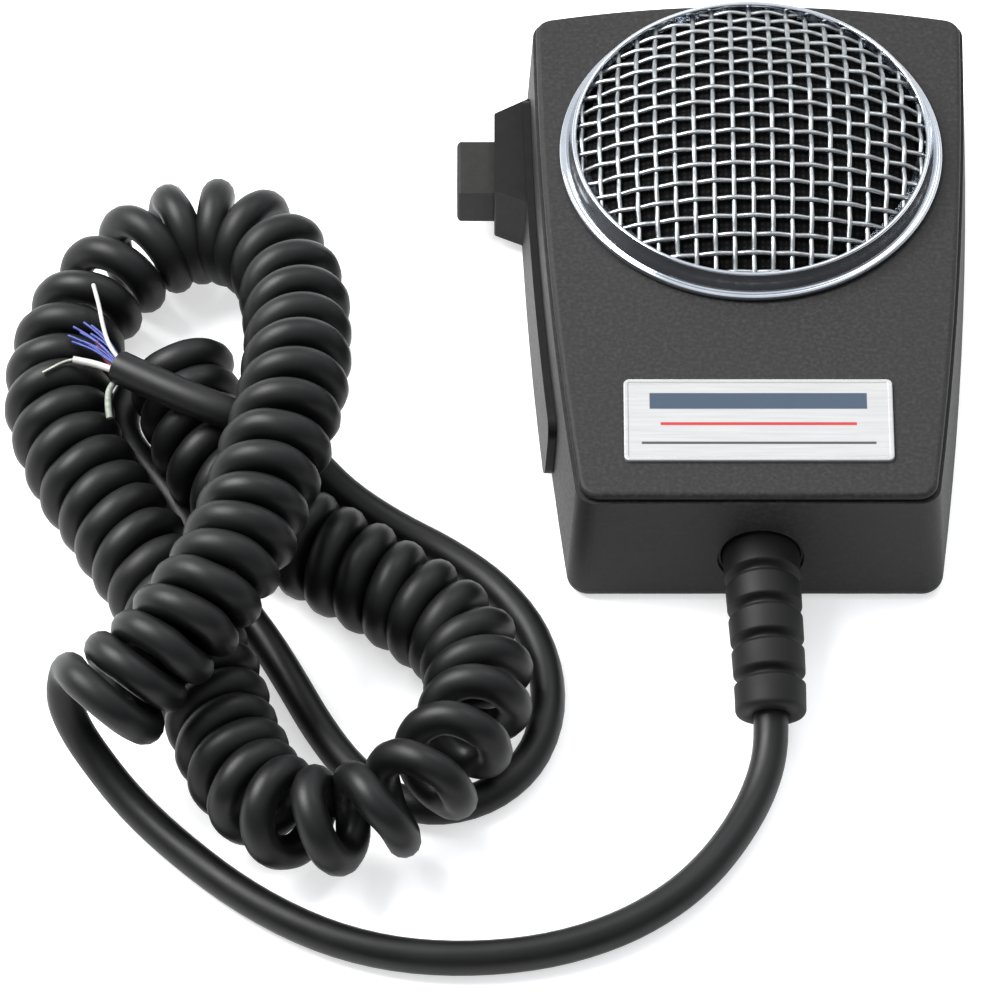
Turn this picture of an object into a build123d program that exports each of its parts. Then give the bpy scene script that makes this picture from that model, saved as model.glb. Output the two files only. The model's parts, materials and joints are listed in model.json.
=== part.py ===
"""Hand microphone with a curly cord, lying on its back. Millimetres, +Z out of the grille, +Y to its top."""

from build123d import *
import math
import os

# Case: a tapered shell, wider at the grille end and towards its back.
CASE_HEIGHT = 26.0
BOTTOM_Y, MIDDLE_Y, CORNER_Y, CROWN_Y = -51.5, -1.7, 48.05, 51.5
BOTTOM_HALF, MIDDLE_HALF, TOP_HALF = 28.3, 33.2, 35.1
SIDE_DRAFT, BOTTOM_DRAFT, TOP_DRAFT = 1.4, 0.3, 0.8
BOTTOM_CORNER, TOP_CORNER = 3.5, 3.2
BACK_ROUND = 2.2
WALL = 2.4
COVER_EDGE, COVER_ROUND, COVER_INSET = 1.1, 0.8, 0.45
GROOVE_HEIGHT, GROOVE_DEPTH = 0.6, 1.2
EDGE_Z = CASE_HEIGHT - COVER_EDGE
SPLIT_Z = EDGE_Z - GROOVE_HEIGHT
LIP_DEPTH, LIP_THICKNESS, LIP_GAP = 2.1, 1.4, 0.15

# Screws that hold the two shells together, entered from the back.
SHELL_SCREWS = [(-23.0, -45.2), (23.0, -45.2), (-28.3, 42.8), (28.3, 42.8)]
SHELL_PILLAR_R, SHELL_PILLAR_TOP = 3.4, 4.0
SHELL_BOSS_R, SHELL_BOSS_HOLE_TOP = 3.0, 16.0
SHELL_HEAD_R, SHELL_HEAD_Z, SHELL_SEAT_Z = 2.4, 0.2, 2.0
SHELL_SHANK_R, SHELL_SHANK_TOP = 1.25, 15.0
THREAD_GAP, HOLE_GAP, HEAD_GAP = 0.03, 0.35, 0.2

# Small screws inside.
SCREW_HEAD_R, SCREW_HEAD_HEIGHT, SCREW_SHANK_R = 2.2, 1.5, 1.2
SCREW_CROSS_WIDTH, SCREW_CROSS_DEPTH = 0.6, 0.7

# Threaded insert for the hang-up button, in the middle of the back.
INSERT_X, INSERT_Y = 0.0, 30.0
INSERT_R, INSERT_HOLE_R, INSERT_LENGTH = 3.2, 1.7, 4.8
INSERT_BOSS_R, INSERT_BOSS_TOP = 5.0, 5.3

# Grille: bezel, dome of woven wire, cloth and retaining ring on one axis.
GRILLE_Y = 19.0
GRILLE_HOLE_R = 27.5
BEZEL_R, BEZEL_EDGE_TOP = 31.0, 27.0
BEZEL_LIP_R, BEZEL_LIP_INNER_R, BEZEL_LIP_Z = 28.7, 27.5, 31.0
BEZEL_SPIGOT_R, BEZEL_BORE_R, BEZEL_SPIGOT_Z = 27.35, 25.9, 22.5
BEZEL_SEAT_R, BEZEL_SEAT_Z, BEZEL_SEAT_TOP = 28.5, 27.0, 29.0
DOME_RIM_R, DOME_RIM_Z, DOME_RISE, DOME_THICKNESS = 28.2, 28.2, 7.55, 1.5
CLOTH_R, CLOTH_THICKNESS, CLOTH_DROP = 26.6, 0.5, 1.15
RETAINER_R, RETAINER_HEIGHT = 29.0, 1.4

# Name plate on the front cover.
PLATE_X, PLATE_Y = 0.25, -36.3
PLATE_WIDTH, PLATE_LENGTH, PLATE_THICKNESS, PLATE_CORNER = 42.6, 16.4, 1.0, 1.0

# Push-to-talk switch in the left wall.
PTT_Y, PTT_Z = 27.7, 8.75
PTT_TRAVEL = 2.5
SIDE_PLATE_THICKNESS, SIDE_PLATE_GAP = 1.3, 0.05
SIDE_PLATE_Y = (-29.4, 41.0)
SIDE_PLATE_Z = (2.0, 15.4)
SIDE_PLATE_END_ROUND = 3.0
BOSS_OUTLINE = [(-33.0, 17.6), (-35.2, 18.0), (-41.5, 21.0), (-41.5, 37.4), (-36.0, 40.6), (-33.0, 40.6)]
BOSS_FACE_X, BOSS_Z, BOSS_WALL, BOSS_ROUND = -41.5, (3.0, 14.5), 1.6, 0.6
BUTTON_FACE_X, BUTTON_LENGTH, BUTTON_HEIGHT, BUTTON_ROUND = -47.6, 11.0, 7.1, 0.7
BUTTON_GAP = 0.15
SHOULDER_LENGTH, SHOULDER_HEIGHT, SHOULDER_THICKNESS, SHOULDER_GAP = 12.4, 8.6, 1.0, 0.1
STEM_R, STEM_TIP_X, STEM_HOLE_R = 1.9, -28.3, 2.1
WALL_WINDOW = 8.0
STUD_R, STUD_HOLE_R = 1.4, 1.5
STUDS = [(-22.0, -29.4, -28.2), (12.0, -31.85, -30.6)]
CLIP_R, CLIP_THICKNESS = 3.0, 0.6
SPRING_COIL_R, SPRING_WIRE_R, SPRING_TURNS, SPRING_END_GAP = 2.6, 0.25, 5, 0.05

# Switch frame and leaves: the stem bends the moving leaf onto the fixed one.
FRAME_X, FRAME_THICKNESS = -30.9, 1.0
FRAME_BASE_X, FRAME_BASE_Z = -20.8, 2.45
FRAME_Y, FRAME_TAB_TOP = (-4.0, 37.5), 14.6
FRAME_GUIDE_Y, FRAME_STACK_Y = (18.0, 37.5), (-4.0, 6.0)
FRAME_SCREWS = [(-24.0, 21.5), (-24.0, 34.5)]
FRAME_SCREW_DEPTH = 1.5
LEAF_THICKNESS, LEAF_Z = 0.4, (6.2, 11.3)
STACK_Y, STACK_Z = (-3.0, 5.0), (4.4, 13.0)
MOVING_LEAF_X, FIXED_LEAF_X = -28.0, -23.6
LEAF_PIVOT_Y, LEAF_END_Y, LEAF_CONTACT_Y = 5.6, 32.0, 30.0
CONTACT_R, MOVING_CONTACT, FIXED_CONTACT = 1.2, 0.7, 0.3
STACK_START_X, STACK_END_X, STACK_GAP = -29.85, -21.6, 0.05
STACK_SCREW_R, STACK_HEAD_R, STACK_SCREW_ZS = 0.9, 1.62, (6.4, 11.0)

# Cartridge behind the grille.
ELEMENT_X, ELEMENT_R, ELEMENT_WALL = 2.5, 17.0, 1.2
ELEMENT_Z, ELEMENT_TOP = 12.0, 20.6
DIAPHRAGM_R, DIAPHRAGM_Z, DIAPHRAGM_THICKNESS = 15.6, 19.0, 0.3
CAP_THICKNESS, CAP_HOLE_R, CAP_RING_R, CAP_HOLES = 0.8, 1.3, 9.0, 8
GASKET_INNER_R = 13.8
GASKET_Z = (21.45, 26.95)
LUG_OFFSET, LUG_WIDTH, LUG_THICKNESS, LUG_BOTTOM = 12.0, 2.4, 0.5, 9.0
TERMINAL_BOARD_R, TERMINAL_BOARD_Z = 8.8, (11.25, 11.95)
BRACKET_WIDTH, BRACKET_Z, BRACKET_DISC_R = 8.0, (10.2, 11.2), 9.0
BRACKET_PILLARS = (-2.5, 41.6)
BRACKET_PILLAR_R, BRACKET_END = 3.0, 3.2

# Amplifier board on four posts of the rear case.
BOARD_X, BOARD_Y, BOARD_Z = (-16.0, 26.0), (2.0, 38.0), (5.4, 7.0)
BOARD_POSTS = [(-13.5, 4.5), (23.5, 4.5), (-13.5, 35.5), (23.5, 35.5)]
BOARD_POST_R, BOARD_HOLE_R = 2.6, 1.4
CAPACITORS = [(-9.0, 10.0, 2.0), (15.0, 8.0, 2.5), (20.0, 29.0, 2.5), (-9.5, 27.5, 2.0)]
CAPACITOR_HEIGHT = 3.9
RESISTORS = [(12.0, 28.0), (12.0, 31.0), (12.0, 34.0), (8.0, 13.5), (-10.0, 16.0)]
RESISTOR_R, RESISTOR_LENGTH = 0.95, 6.0
TRANSISTOR_X, TRANSISTOR_Y, TRANSISTOR_R, TRANSISTOR_HEIGHT = -10.5, 22.4, 2.4, 4.0
TRIMMER_X, TRIMMER_Y, TRIMMER_SIDE, TRIMMER_HEIGHT = 20.8, 19.5, 7.0, 2.5
ROTOR_R, ROTOR_HEIGHT, ROTOR_HUB_R, ROTOR_HUB_DEPTH, ROTOR_GAP = 2.6, 1.0, 1.0, 1.2, 0.05

# Battery across the lower half of the case.
BATTERY_X, BATTERY_Y, BATTERY_Z = (-24.4, 21.9), (-36.0, -9.8), (3.6, 20.9)
BATTERY_ROUND = 1.5
TERMINAL_SPREAD, TERMINAL_R, TERMINAL_LENGTH = 6.35, 2.8, 2.0
SNAP_THICKNESS, SNAP_MARGIN, SNAP_RING_R = 2.4, 2.0, 3.5
PAD_MARGIN = 3.0
PAD_GAP = 0.05

# Cord, boot and clamp.
CORD_R, COIL_R = 2.75, 8.75
BOOT_Z = 10.7
BOOT_X = 0.65
BOOT_BASE_R, BOOT_TIP_R, BOOT_BORE_R = 6.1, 5.2, 2.95
BOOT_HOLE_R, BOOT_RECESS_R, BOOT_RECESS_DEPTH = 6.4, 6.9, 0.7
BOOT_FLANGE_R, BOOT_FLANGE_Y = 7.6, (-49.2, -47.2)
BOOT_SLOTS, BOOT_SLOT_PITCH, BOOT_SLOT_WIDTH, BOOT_SLOT_DEPTH = 5, 5.2, 1.3, 1.9
BOOT_FIRST_SLOT, BOOT_TIP_EXTRA, BOOT_SECTIONS = 3.0, 2.0, 4
BOOT_SLOT_TAPER, BOOT_CUT_WIDTH, BOOT_CUT_DEPTH = 0.15, 20.0, 6.0
CLAMP_X, CLAMP_Y, CLAMP_Z, CLAMP_SCREW_OFFSET = 8.6, (-46.6, -42.2), (10.5, 14.6), 6.2
CLAMP_POST_R, CLAMP_RIB_HALF, CLAMP_GAP = 2.3, 3.2, 0.05
WIRE_R = 0.6

# Routes of the cord's centre line, from the clamp inside the case to the stripped end.
LEAD_ROUTE = [
    (0.65, -41.8, 10.7), (0.7, -51.2, 10.65), (1.1, -60.6, 10), (1.6, -69.4, 8.4), (1.9, -77.6, 6.2),
    (1.8, -85.2, 3.9), (-0.3, -92.4, 2.8), (-3.8, -99.8, 2.8), (-8.4, -106.8, 2.8), (-14.2, -112.8, 2.8),
    (-22.4, -118.3, 2.8), (-33, -122.2, 2.8), (-45, -123.7, 2.8), (-57, -122.9, 2.8),
    (-68.6, -119.2, 2.8), (-80, -112.2, 2.8), (-90, -103.2, 2.8), (-97.8, -95, 3.4), (-103.4, -88.8, 6.6),
    (-107.2, -85.2, 11.4), (-108.8, -83.2, 17.2), (-107.6, -81.9, 22.6), (-104.2, -81.8, 26),
]
COIL_ROUTE = [
    (-102.2, -88.4, 21.4), (-96.4, -84.6, 24.8), (-89.6, -78.4, 28), (-83.4, -68.6, 29.6),
    (-78.8, -56.4, 30), (-75.2, -42.6, 29.6), (-73, -29.6, 28.2), (-72.6, -15.4, 23.2), (-74, -2.4, 18),
    (-77.2, 7.8, 14.2), (-82.4, 13.8, 12), (-89, 15.9, 10.8), (-95.8, 14.2, 9.8), (-102.4, 8.4, 9.2),
    (-108.4, -0.9, 8.8), (-111.9, -11.7, 8.8), (-111.4, -22.3, 8.8), (-107.8, -32, 8.8),
    (-102.6, -41.7, 8.8), (-96.4, -52, 8.8), (-90.8, -63.2, 8.8), (-86.4, -74.9, 9), (-83.2, -87.3, 10),
    (-78.8, -98.6, 11.2), (-71.6, -105, 12.8), (-62.5, -105.8, 15), (-53.8, -101.2, 15.6),
    (-46.8, -90.4, 14.2), (-43.4, -79.2, 10.6), (-44.8, -69.2, 9), (-51.6, -61.4, 8.8), (-60.4, -55, 8.8),
    (-69.4, -49, 8.8), (-77.8, -42.2, 8.8), (-84.6, -34.2, 8.8), (-89.2, -25.2, 8.8), (-91.4, -16, 8.9),
]
TAIL_ROUTE = [
    (-89.4, -13.4, 2.9), (-95.2, -11.8, 2.8), (-100.2, -14, 2.8), (-102, -20.4, 2.8), (-98.6, -28.8, 2.8),
    (-93.9, -37.2, 2.8), (-88.5, -45.6, 2.8), (-82.7, -54.1, 2.8), (-77.4, -62.6, 2.8),
    (-73.2, -70.9, 2.8), (-69.2, -79.3, 2.8), (-64.1, -87.5, 2.8), (-57.8, -93.3, 2.8), (-50, -95.4, 2.8),
    (-41.3, -92.3, 2.8), (-34.8, -84.6, 2.8), (-32.5, -73.4, 2.8), (-34.6, -61.8, 2.8), (-40.6, -52, 2.8),
    (-48.8, -45, 3), (-57.4, -40.6, 4.2), (-65.4, -36.8, 7.8), (-71.2, -32.8, 12.6), (-76.6, -30.6, 17),
    (-83.6, -30.2, 20.4), (-92.2, -26.4, 20.8), (-101.4, -20, 19.5),
]

# Stripped conductors that fan out of the tail's end and lie on the coil: route and radius.
CONDUCTORS = {
    "wire_white_long": ([(-101.3, -19.5, 20.8), (-103.0, -17.2, 21.1), (-104.2, -12.2, 20.7),
                         (-105.0, -7.0, 19.9), (-106.0, -2.4, 18.7)], 0.45),
    "wire_blue": ([(-101.0, -19.9, 19.6), (-102.7, -17.6, 19.6), (-105.0, -14.6, 19.4),
                   (-107.8, -12.4, 18.9)], 0.6),
    "wire_white_short": ([(-101.6, -20.5, 18.9), (-103.4, -19.5, 18.7), (-106.1, -18.3, 18.5),
                          (-108.8, -17.6, 18.4)], 0.6),
    "wire_bare_strand": ([(-108.8, -17.6, 18.4), (-110.2, -17.9, 18.3), (-111.8, -18.9, 18.2),
                          (-113.6, -19.8, 17.8)], 0.3),
    "wire_screen": ([(-100.9, -21.0, 18.0), (-102.3, -21.6, 17.8), (-103.4, -24.4, 17.4),
                     (-102.8, -27.8, 16.2)], 0.55),
    "wire_red": ([(-102.0, -19.2, 18.1), (-103.6, -17.4, 18.1), (-105.3, -13.2, 18.1),
                  (-106.4, -9.6, 18.2)], 0.4),
}

# Wires inside the case, past the battery's end, and from the battery snap to the board.
INNER_WIRE_ROUTES = [
    [(-0.3, -41.8, height), (-9.0, -38.8, height + 0.6), (-25.4, -38.2, height + 1.0),
     (-26.5, -30.0, height + 1.4), (-26.6, -12.0, height + 0.6), (-25.4, -4.3, height)]
    for height in (9.6, 11.8)
]
BATTERY_WIRE_ROUTES = [
    [(26.4, -13.2, height), (26.6, -6.0, height - 0.4), (25.6, 2.0, height - 0.6), (24.0 - shift, 11.0, 7.75)]
    for height, shift in ((11.0, 0.0), (14.0, 2.4))
]


def save(shape, name):
    """Writes one node."""
    export_step(shape, f"parts/{name}.step")


def centred(middle, size, gap=0.0):
    """Limits of a size about a middle, opened by a gap on each side."""
    return (middle - size / 2 - gap, middle + size / 2 + gap)


def block(x, y, z):
    """A box between two limits on each axis."""
    size = (x[1] - x[0], y[1] - y[0], z[1] - z[0])
    return Pos((x[0] + x[1]) / 2, (y[0] + y[1]) / 2, (z[0] + z[1]) / 2) * Box(*size)


def post(x, y, low, high, radius):
    """An upright round post."""
    return Pos(x, y, (low + high) / 2) * Cylinder(radius, high - low)


def bar_x(y, z, low, high, radius):
    """A round bar along X."""
    return Pos((low + high) / 2, y, z) * Rot(0, 90, 0) * Cylinder(radius, high - low)


def bar_y(x, z, low, high, radius):
    """A round bar along Y."""
    return Pos(x, (low + high) / 2, z) * Rot(90, 0, 0) * Cylinder(radius, high - low)


def group(pieces):
    """Separate solids in one node."""
    return Compound(children=list(pieces))


def outline(z, inset=0.0):
    """The case's plan at a height, offset inwards."""
    lean = 1 - z / CASE_HEIGHT
    bottom, middle, top = (half + SIDE_DRAFT * lean - inset for half in (BOTTOM_HALF, MIDDLE_HALF, TOP_HALF))
    low = BOTTOM_Y - BOTTOM_DRAFT * lean + inset
    high = CORNER_Y + TOP_DRAFT * lean - inset
    crown = CROWN_Y + TOP_DRAFT * lean - inset
    sides = [
        Line((-bottom, low), (bottom, low)),
        ThreePointArc((bottom, low), (middle, MIDDLE_Y), (top, high)),
        ThreePointArc((top, high), (0, crown), (-top, high)),
        ThreePointArc((-top, high), (-middle, MIDDLE_Y), (-bottom, low)),
    ]
    face = make_face(sides)
    face = fillet(face.vertices().group_by(Axis.Y)[0], BOTTOM_CORNER - 0.7 * inset)
    face = fillet(face.vertices().filter_by(lambda v: abs(v.Y - high) < 0.01), TOP_CORNER - 0.7 * inset)
    return (Pos(0, 0, z) * face).face()


def case_solid(low, high, inset=0.0):
    """The case's tapered form between two heights."""
    return loft([outline(low, inset), outline(high, inset)], ruled=True)


def screw(x, y, seat, tip, head_r=SCREW_HEAD_R, head=SCREW_HEAD_HEIGHT, shank_r=SCREW_SHANK_R):
    """A cross-recess screw standing on its seat; a tip above the seat turns it upside down."""
    way = 1 if tip < seat else -1
    top = seat + way * head
    body = post(x, y, min(seat, top), max(seat, top), head_r)
    body += post(x, y, min(seat, tip), max(seat, tip), shank_r)
    cut = (min(top, top - way * SCREW_CROSS_DEPTH), max(top, top - way * SCREW_CROSS_DEPTH))
    long, wide = 0.6 * head_r, SCREW_CROSS_WIDTH / 2
    body -= block((x - long, x + long), (y - wide, y + wide), cut)
    body -= block((x - wide, x + wide), (y - long, y + long), cut)
    return body


def arc_radii(points):
    """A radius for each corner of a route: 0.45 of its shorter run over the tangent of half the turn."""
    radii = []
    for before, corner, after in zip(points, points[1:], points[2:]):
        run_in, run_out = Vector(*corner) - Vector(*before), Vector(*after) - Vector(*corner)
        half_turn = math.radians(run_in.get_angle(run_out)) / 2
        radii.append(0.45 * min(run_in.length, run_out.length) / math.tan(half_turn))
    return radii


def route_path(points):
    """Straight runs joined by tangent arcs."""
    return FilletPolyline(*points, radius=arc_radii(points))


def tube(points, radius):
    """A round tube along a route."""
    path = route_path(points)
    section = Plane(origin=path @ 0, z_dir=path % 0) * Circle(radius)
    return sweep(section, path=path)


def cord_tube(points, radius, name):
    """A tube whose bends and volume are printed."""
    solid = tube(points, radius)
    length = route_path(points).length
    share = solid.volume / (math.pi * radius**2 * length)
    print(name, "length", round(length), "volume share", round(share, 3))
    print("  radii", [round(r, 1) for r in arc_radii(points)])
    return solid


def rear_case():
    """The deep shell with its posts, pillars and holes."""
    outer = case_solid(0, SPLIT_Z)
    outer = fillet(outer.faces().sort_by(Axis.Z)[0].edges(), BACK_ROUND)
    body = outer - case_solid(WALL, SPLIT_Z + WALL, WALL)
    for x, y in SHELL_SCREWS:
        body += post(x, y, WALL / 2, SHELL_PILLAR_TOP, SHELL_PILLAR_R)
        body -= post(x, y, -1, SHELL_SEAT_Z, SHELL_HEAD_R + HEAD_GAP)
        body -= post(x, y, 0, SHELL_PILLAR_TOP + 1, SHELL_SHANK_R + HOLE_GAP)
    for x, y in BOARD_POSTS:
        body += post(x, y, WALL / 2, BOARD_Z[0], BOARD_POST_R)
        body -= post(x, y, WALL, BOARD_Z[0] + 1, SCREW_SHANK_R + THREAD_GAP)
    for y in BRACKET_PILLARS:
        body += post(ELEMENT_X, y, WALL / 2, BRACKET_Z[0], BRACKET_PILLAR_R)
        body -= post(ELEMENT_X, y, WALL, BRACKET_Z[0] + 1, SCREW_SHANK_R + THREAD_GAP)
    for side in (-1, 1):
        x = BOOT_X + side * CLAMP_SCREW_OFFSET
        y = sum(CLAMP_Y) / 2
        body += post(x, y, WALL / 2, CLAMP_Z[0] - CLAMP_GAP, CLAMP_POST_R)
        body -= post(x, y, WALL, CLAMP_Z[0] + 1, SCREW_SHANK_R + THREAD_GAP)
    rib_top = BOOT_Z - CORD_R - CLAMP_GAP
    body += block((BOOT_X - CLAMP_RIB_HALF, BOOT_X + CLAMP_RIB_HALF), CLAMP_Y, (WALL / 2, rib_top))
    for x, y in FRAME_SCREWS:
        body -= post(x, y, FRAME_BASE_Z - FRAME_SCREW_DEPTH, FRAME_BASE_Z, SCREW_SHANK_R + THREAD_GAP)
    body += post(INSERT_X, INSERT_Y, WALL / 2, INSERT_BOSS_TOP, INSERT_BOSS_R)
    body -= post(INSERT_X, INSERT_Y, -1, INSERT_LENGTH, INSERT_R)
    body -= bar_y(BOOT_X, BOOT_Z, BOTTOM_Y - 1, BOTTOM_Y + WALL + 1, BOOT_HOLE_R)
    recess_y = BOTTOM_Y - BOTTOM_DRAFT
    body -= bar_y(BOOT_X, BOOT_Z, recess_y - 1, recess_y + BOOT_RECESS_DEPTH, BOOT_RECESS_R)
    half = WALL_WINDOW / 2
    window = block((-TOP_HALF - 2, FRAME_X), (PTT_Y - half, PTT_Y + half), (PTT_Z - half, PTT_Z + half))
    body -= window
    for y, clip_x, _ in STUDS:
        body -= bar_x(y, PTT_Z, -TOP_HALF - 2, clip_x + 1, STUD_HOLE_R)
    return body


def front_cover():
    """The face plate with a step that leaves a shadow line, a locating lip and four screw bosses."""
    plate = case_solid(EDGE_Z, CASE_HEIGHT, COVER_INSET)
    plate = fillet(plate.faces().sort_by(Axis.Z)[-1].edges(), COVER_ROUND)
    plate += case_solid(SPLIT_Z, EDGE_Z, GROOVE_DEPTH)
    lip_inset = WALL + LIP_GAP
    lip = case_solid(SPLIT_Z - LIP_DEPTH, SPLIT_Z, lip_inset)
    lip -= case_solid(SPLIT_Z - LIP_DEPTH - 1, SPLIT_Z + 1, lip_inset + LIP_THICKNESS)
    lip -= post(0, GRILLE_Y, SPLIT_Z - LIP_DEPTH - 1, SPLIT_Z, RETAINER_R + HEAD_GAP)
    body = plate + lip
    for x, y in SHELL_SCREWS:
        body += post(x, y, SHELL_PILLAR_TOP + CLAMP_GAP, SPLIT_Z, SHELL_BOSS_R)
        body -= post(x, y, 0, SHELL_BOSS_HOLE_TOP, SHELL_SHANK_R + THREAD_GAP)
    return body - post(0, GRILLE_Y, 0, CASE_HEIGHT + 1, GRILLE_HOLE_R)


def grille_bezel():
    """The bright conical ring, its seat for the mesh and its spigot through the cover."""
    profile = Polyline(
        (BEZEL_BORE_R, BEZEL_SPIGOT_Z), (BEZEL_SPIGOT_R, BEZEL_SPIGOT_Z), (BEZEL_SPIGOT_R, CASE_HEIGHT),
        (BEZEL_R - 0.4, CASE_HEIGHT), (BEZEL_R, CASE_HEIGHT + 0.4), (BEZEL_R, BEZEL_EDGE_TOP),
        (BEZEL_LIP_R, BEZEL_LIP_Z - 0.4), (BEZEL_LIP_R - 0.4, BEZEL_LIP_Z),
        (BEZEL_LIP_INNER_R + 0.3, BEZEL_LIP_Z), (BEZEL_LIP_INNER_R, BEZEL_LIP_Z - 0.3),
        (BEZEL_LIP_INNER_R, BEZEL_SEAT_TOP + 0.7),
        (BEZEL_SEAT_R, BEZEL_SEAT_TOP), (BEZEL_SEAT_R, BEZEL_SEAT_Z), (BEZEL_BORE_R, BEZEL_SEAT_Z),
        close=True,
    )
    ring = revolve(Plane.XZ * make_face(profile), Axis.Z)
    return Pos(0, GRILLE_Y, 0) * ring


def dome_shell(drop, thickness, edge_r):
    """A thin shell of the grille's dome, lowered and cut at a radius."""
    dome_r = (DOME_RIM_R**2 + DOME_RISE**2) / (2 * DOME_RISE)
    middle_r = dome_r - drop
    shell = Sphere(middle_r + thickness / 2) - Sphere(middle_r - thickness / 2)
    shell = Pos(0, GRILLE_Y, DOME_RIM_Z + DOME_RISE - dome_r) * shell
    return shell & post(0, GRILLE_Y, 0, dome_r, edge_r)


def ptt_side_plate():
    """The moulding on the left wall: a thin strip, the boss round the button and two studs."""
    case = case_solid(-1, SPLIT_Z, -SIDE_PLATE_GAP)
    reach = (-TOP_HALF - 8, -20)
    window = block(reach, SIDE_PLATE_Y, SIDE_PLATE_Z)
    window = fillet(window.edges().filter_by(Axis.X), SIDE_PLATE_END_ROUND)
    strip = case_solid(-1, SPLIT_Z, -SIDE_PLATE_THICKNESS) & window
    footprint = make_face(Polyline(*BOSS_OUTLINE, close=True))
    boss = extrude(Pos(0, 0, BOSS_Z[0]) * footprint, BOSS_Z[1] - BOSS_Z[0])
    outer = boss.edges().filter_by(Axis.Z).group_by(Axis.X)[0]
    boss = fillet(outer, BOSS_ROUND)
    body = (strip + boss) - case
    middle = case_solid(-1, SPLIT_Z, -SIDE_PLATE_THICKNESS / 2)
    for y, _, end in STUDS:
        body += bar_x(y, PTT_Z, reach[0], end, STUD_R) & middle
    cavity_x = (BOSS_FACE_X + BOSS_WALL, -20)
    shoulder_y = centred(PTT_Y, SHOULDER_LENGTH, SHOULDER_GAP)
    body -= block(cavity_x, shoulder_y, centred(PTT_Z, SHOULDER_HEIGHT, SHOULDER_GAP))
    body -= block(reach, centred(PTT_Y, BUTTON_LENGTH, BUTTON_GAP), centred(PTT_Z, BUTTON_HEIGHT, BUTTON_GAP))
    return body


def ptt_button():
    """The rectangular button with its shoulder and stem."""
    shoulder_x = BOSS_FACE_X + BOSS_WALL + SHOULDER_GAP
    cap = block((BUTTON_FACE_X, shoulder_x), centred(PTT_Y, BUTTON_LENGTH), centred(PTT_Z, BUTTON_HEIGHT))
    cap = fillet(cap.faces().sort_by(Axis.X)[0].edges(), BUTTON_ROUND)
    shoulder_end = shoulder_x + SHOULDER_THICKNESS
    cap += block((shoulder_x, shoulder_end), centred(PTT_Y, SHOULDER_LENGTH), centred(PTT_Z, SHOULDER_HEIGHT))
    return cap + bar_x(PTT_Y, PTT_Z, shoulder_end - 0.5, STEM_TIP_X, STEM_R)


def ptt_spring():
    """The return spring round the stem, between the shoulder and the switch frame."""
    start = BOSS_FACE_X + BOSS_WALL + SHOULDER_GAP + SHOULDER_THICKNESS + SPRING_END_GAP + SPRING_WIRE_R
    end = FRAME_X - SPRING_END_GAP - SPRING_WIRE_R
    path = Helix(pitch=(end - start) / SPRING_TURNS, height=end - start, radius=SPRING_COIL_R)
    section = Plane(origin=path @ 0, z_dir=path % 0) * Circle(SPRING_WIRE_R)
    coil = sweep(section, path=path, is_frenet=True)
    return Pos(start, PTT_Y, PTT_Z) * Rot(0, 90, 0) * coil


def switch_frame():
    """The bent bracket: base, a guide tab for the stem and a tab for the leaf stack."""
    tab_x = (FRAME_X, FRAME_X + FRAME_THICKNESS)
    tab_z = (FRAME_BASE_Z, FRAME_TAB_TOP)
    body = block((FRAME_X, FRAME_BASE_X), FRAME_Y, (FRAME_BASE_Z, FRAME_BASE_Z + FRAME_THICKNESS))
    body += block(tab_x, FRAME_GUIDE_Y, tab_z)
    body += block(tab_x, FRAME_STACK_Y, tab_z)
    body -= bar_x(PTT_Y, PTT_Z, FRAME_X - 1, FRAME_X + 2, STEM_HOLE_R)
    for z in STACK_SCREW_ZS:
        body -= bar_x(sum(STACK_Y) / 2, z, FRAME_X - 1, FRAME_X + 2, STACK_SCREW_R + THREAD_GAP)
    for x, y in FRAME_SCREWS:
        body -= post(x, y, 0, FRAME_BASE_Z + 2, BOARD_HOLE_R)
    return body


def stack_piece(x):
    """One layer of the leaf stack, bored for its screws."""
    layer = block(x, STACK_Y, STACK_Z)
    for z in STACK_SCREW_ZS:
        layer -= bar_x(sum(STACK_Y) / 2, z, x[0] - 1, x[1] + 1, STACK_SCREW_R + THREAD_GAP)
    return layer


def switch_insulators():
    """The three blocks between and beside the leaves."""
    moving_end = MOVING_LEAF_X + LEAF_THICKNESS
    fixed_end = FIXED_LEAF_X + LEAF_THICKNESS
    layers = [
        (STACK_START_X, MOVING_LEAF_X - STACK_GAP),
        (moving_end + STACK_GAP, FIXED_LEAF_X - STACK_GAP),
        (fixed_end + STACK_GAP, STACK_END_X),
    ]
    return group(stack_piece(x) for x in layers)


def switch_leaves():
    """The moving blade, its clamped root and the fixed blade, each with its contact."""
    moving_x = (MOVING_LEAF_X, MOVING_LEAF_X + LEAF_THICKNESS)
    fixed_x = (FIXED_LEAF_X, FIXED_LEAF_X + LEAF_THICKNESS)
    middle_z = sum(LEAF_Z) / 2
    blade = block(moving_x, (LEAF_PIVOT_Y, LEAF_END_Y), LEAF_Z)
    blade += bar_x(LEAF_CONTACT_Y, middle_z, moving_x[0], moving_x[1] + MOVING_CONTACT, CONTACT_R)
    fixed = stack_piece(fixed_x) + block(fixed_x, (STACK_Y[1] - 1, LEAF_END_Y), LEAF_Z)
    fixed += bar_x(LEAF_CONTACT_Y, middle_z, fixed_x[0] - FIXED_CONTACT, fixed_x[1], CONTACT_R)
    return blade, stack_piece(moving_x), fixed


def stack_screws():
    """Two screws along X through the leaf stack."""
    middle = sum(STACK_Y) / 2
    pieces = []
    for z in STACK_SCREW_ZS:
        shank = bar_x(middle, z, FRAME_X, STACK_END_X + 0.5, STACK_SCREW_R)
        head = bar_x(middle, z, STACK_END_X + STACK_GAP, STACK_END_X + 1.0, STACK_HEAD_R)
        pieces.append(shank + head)
    return group(pieces)


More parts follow.
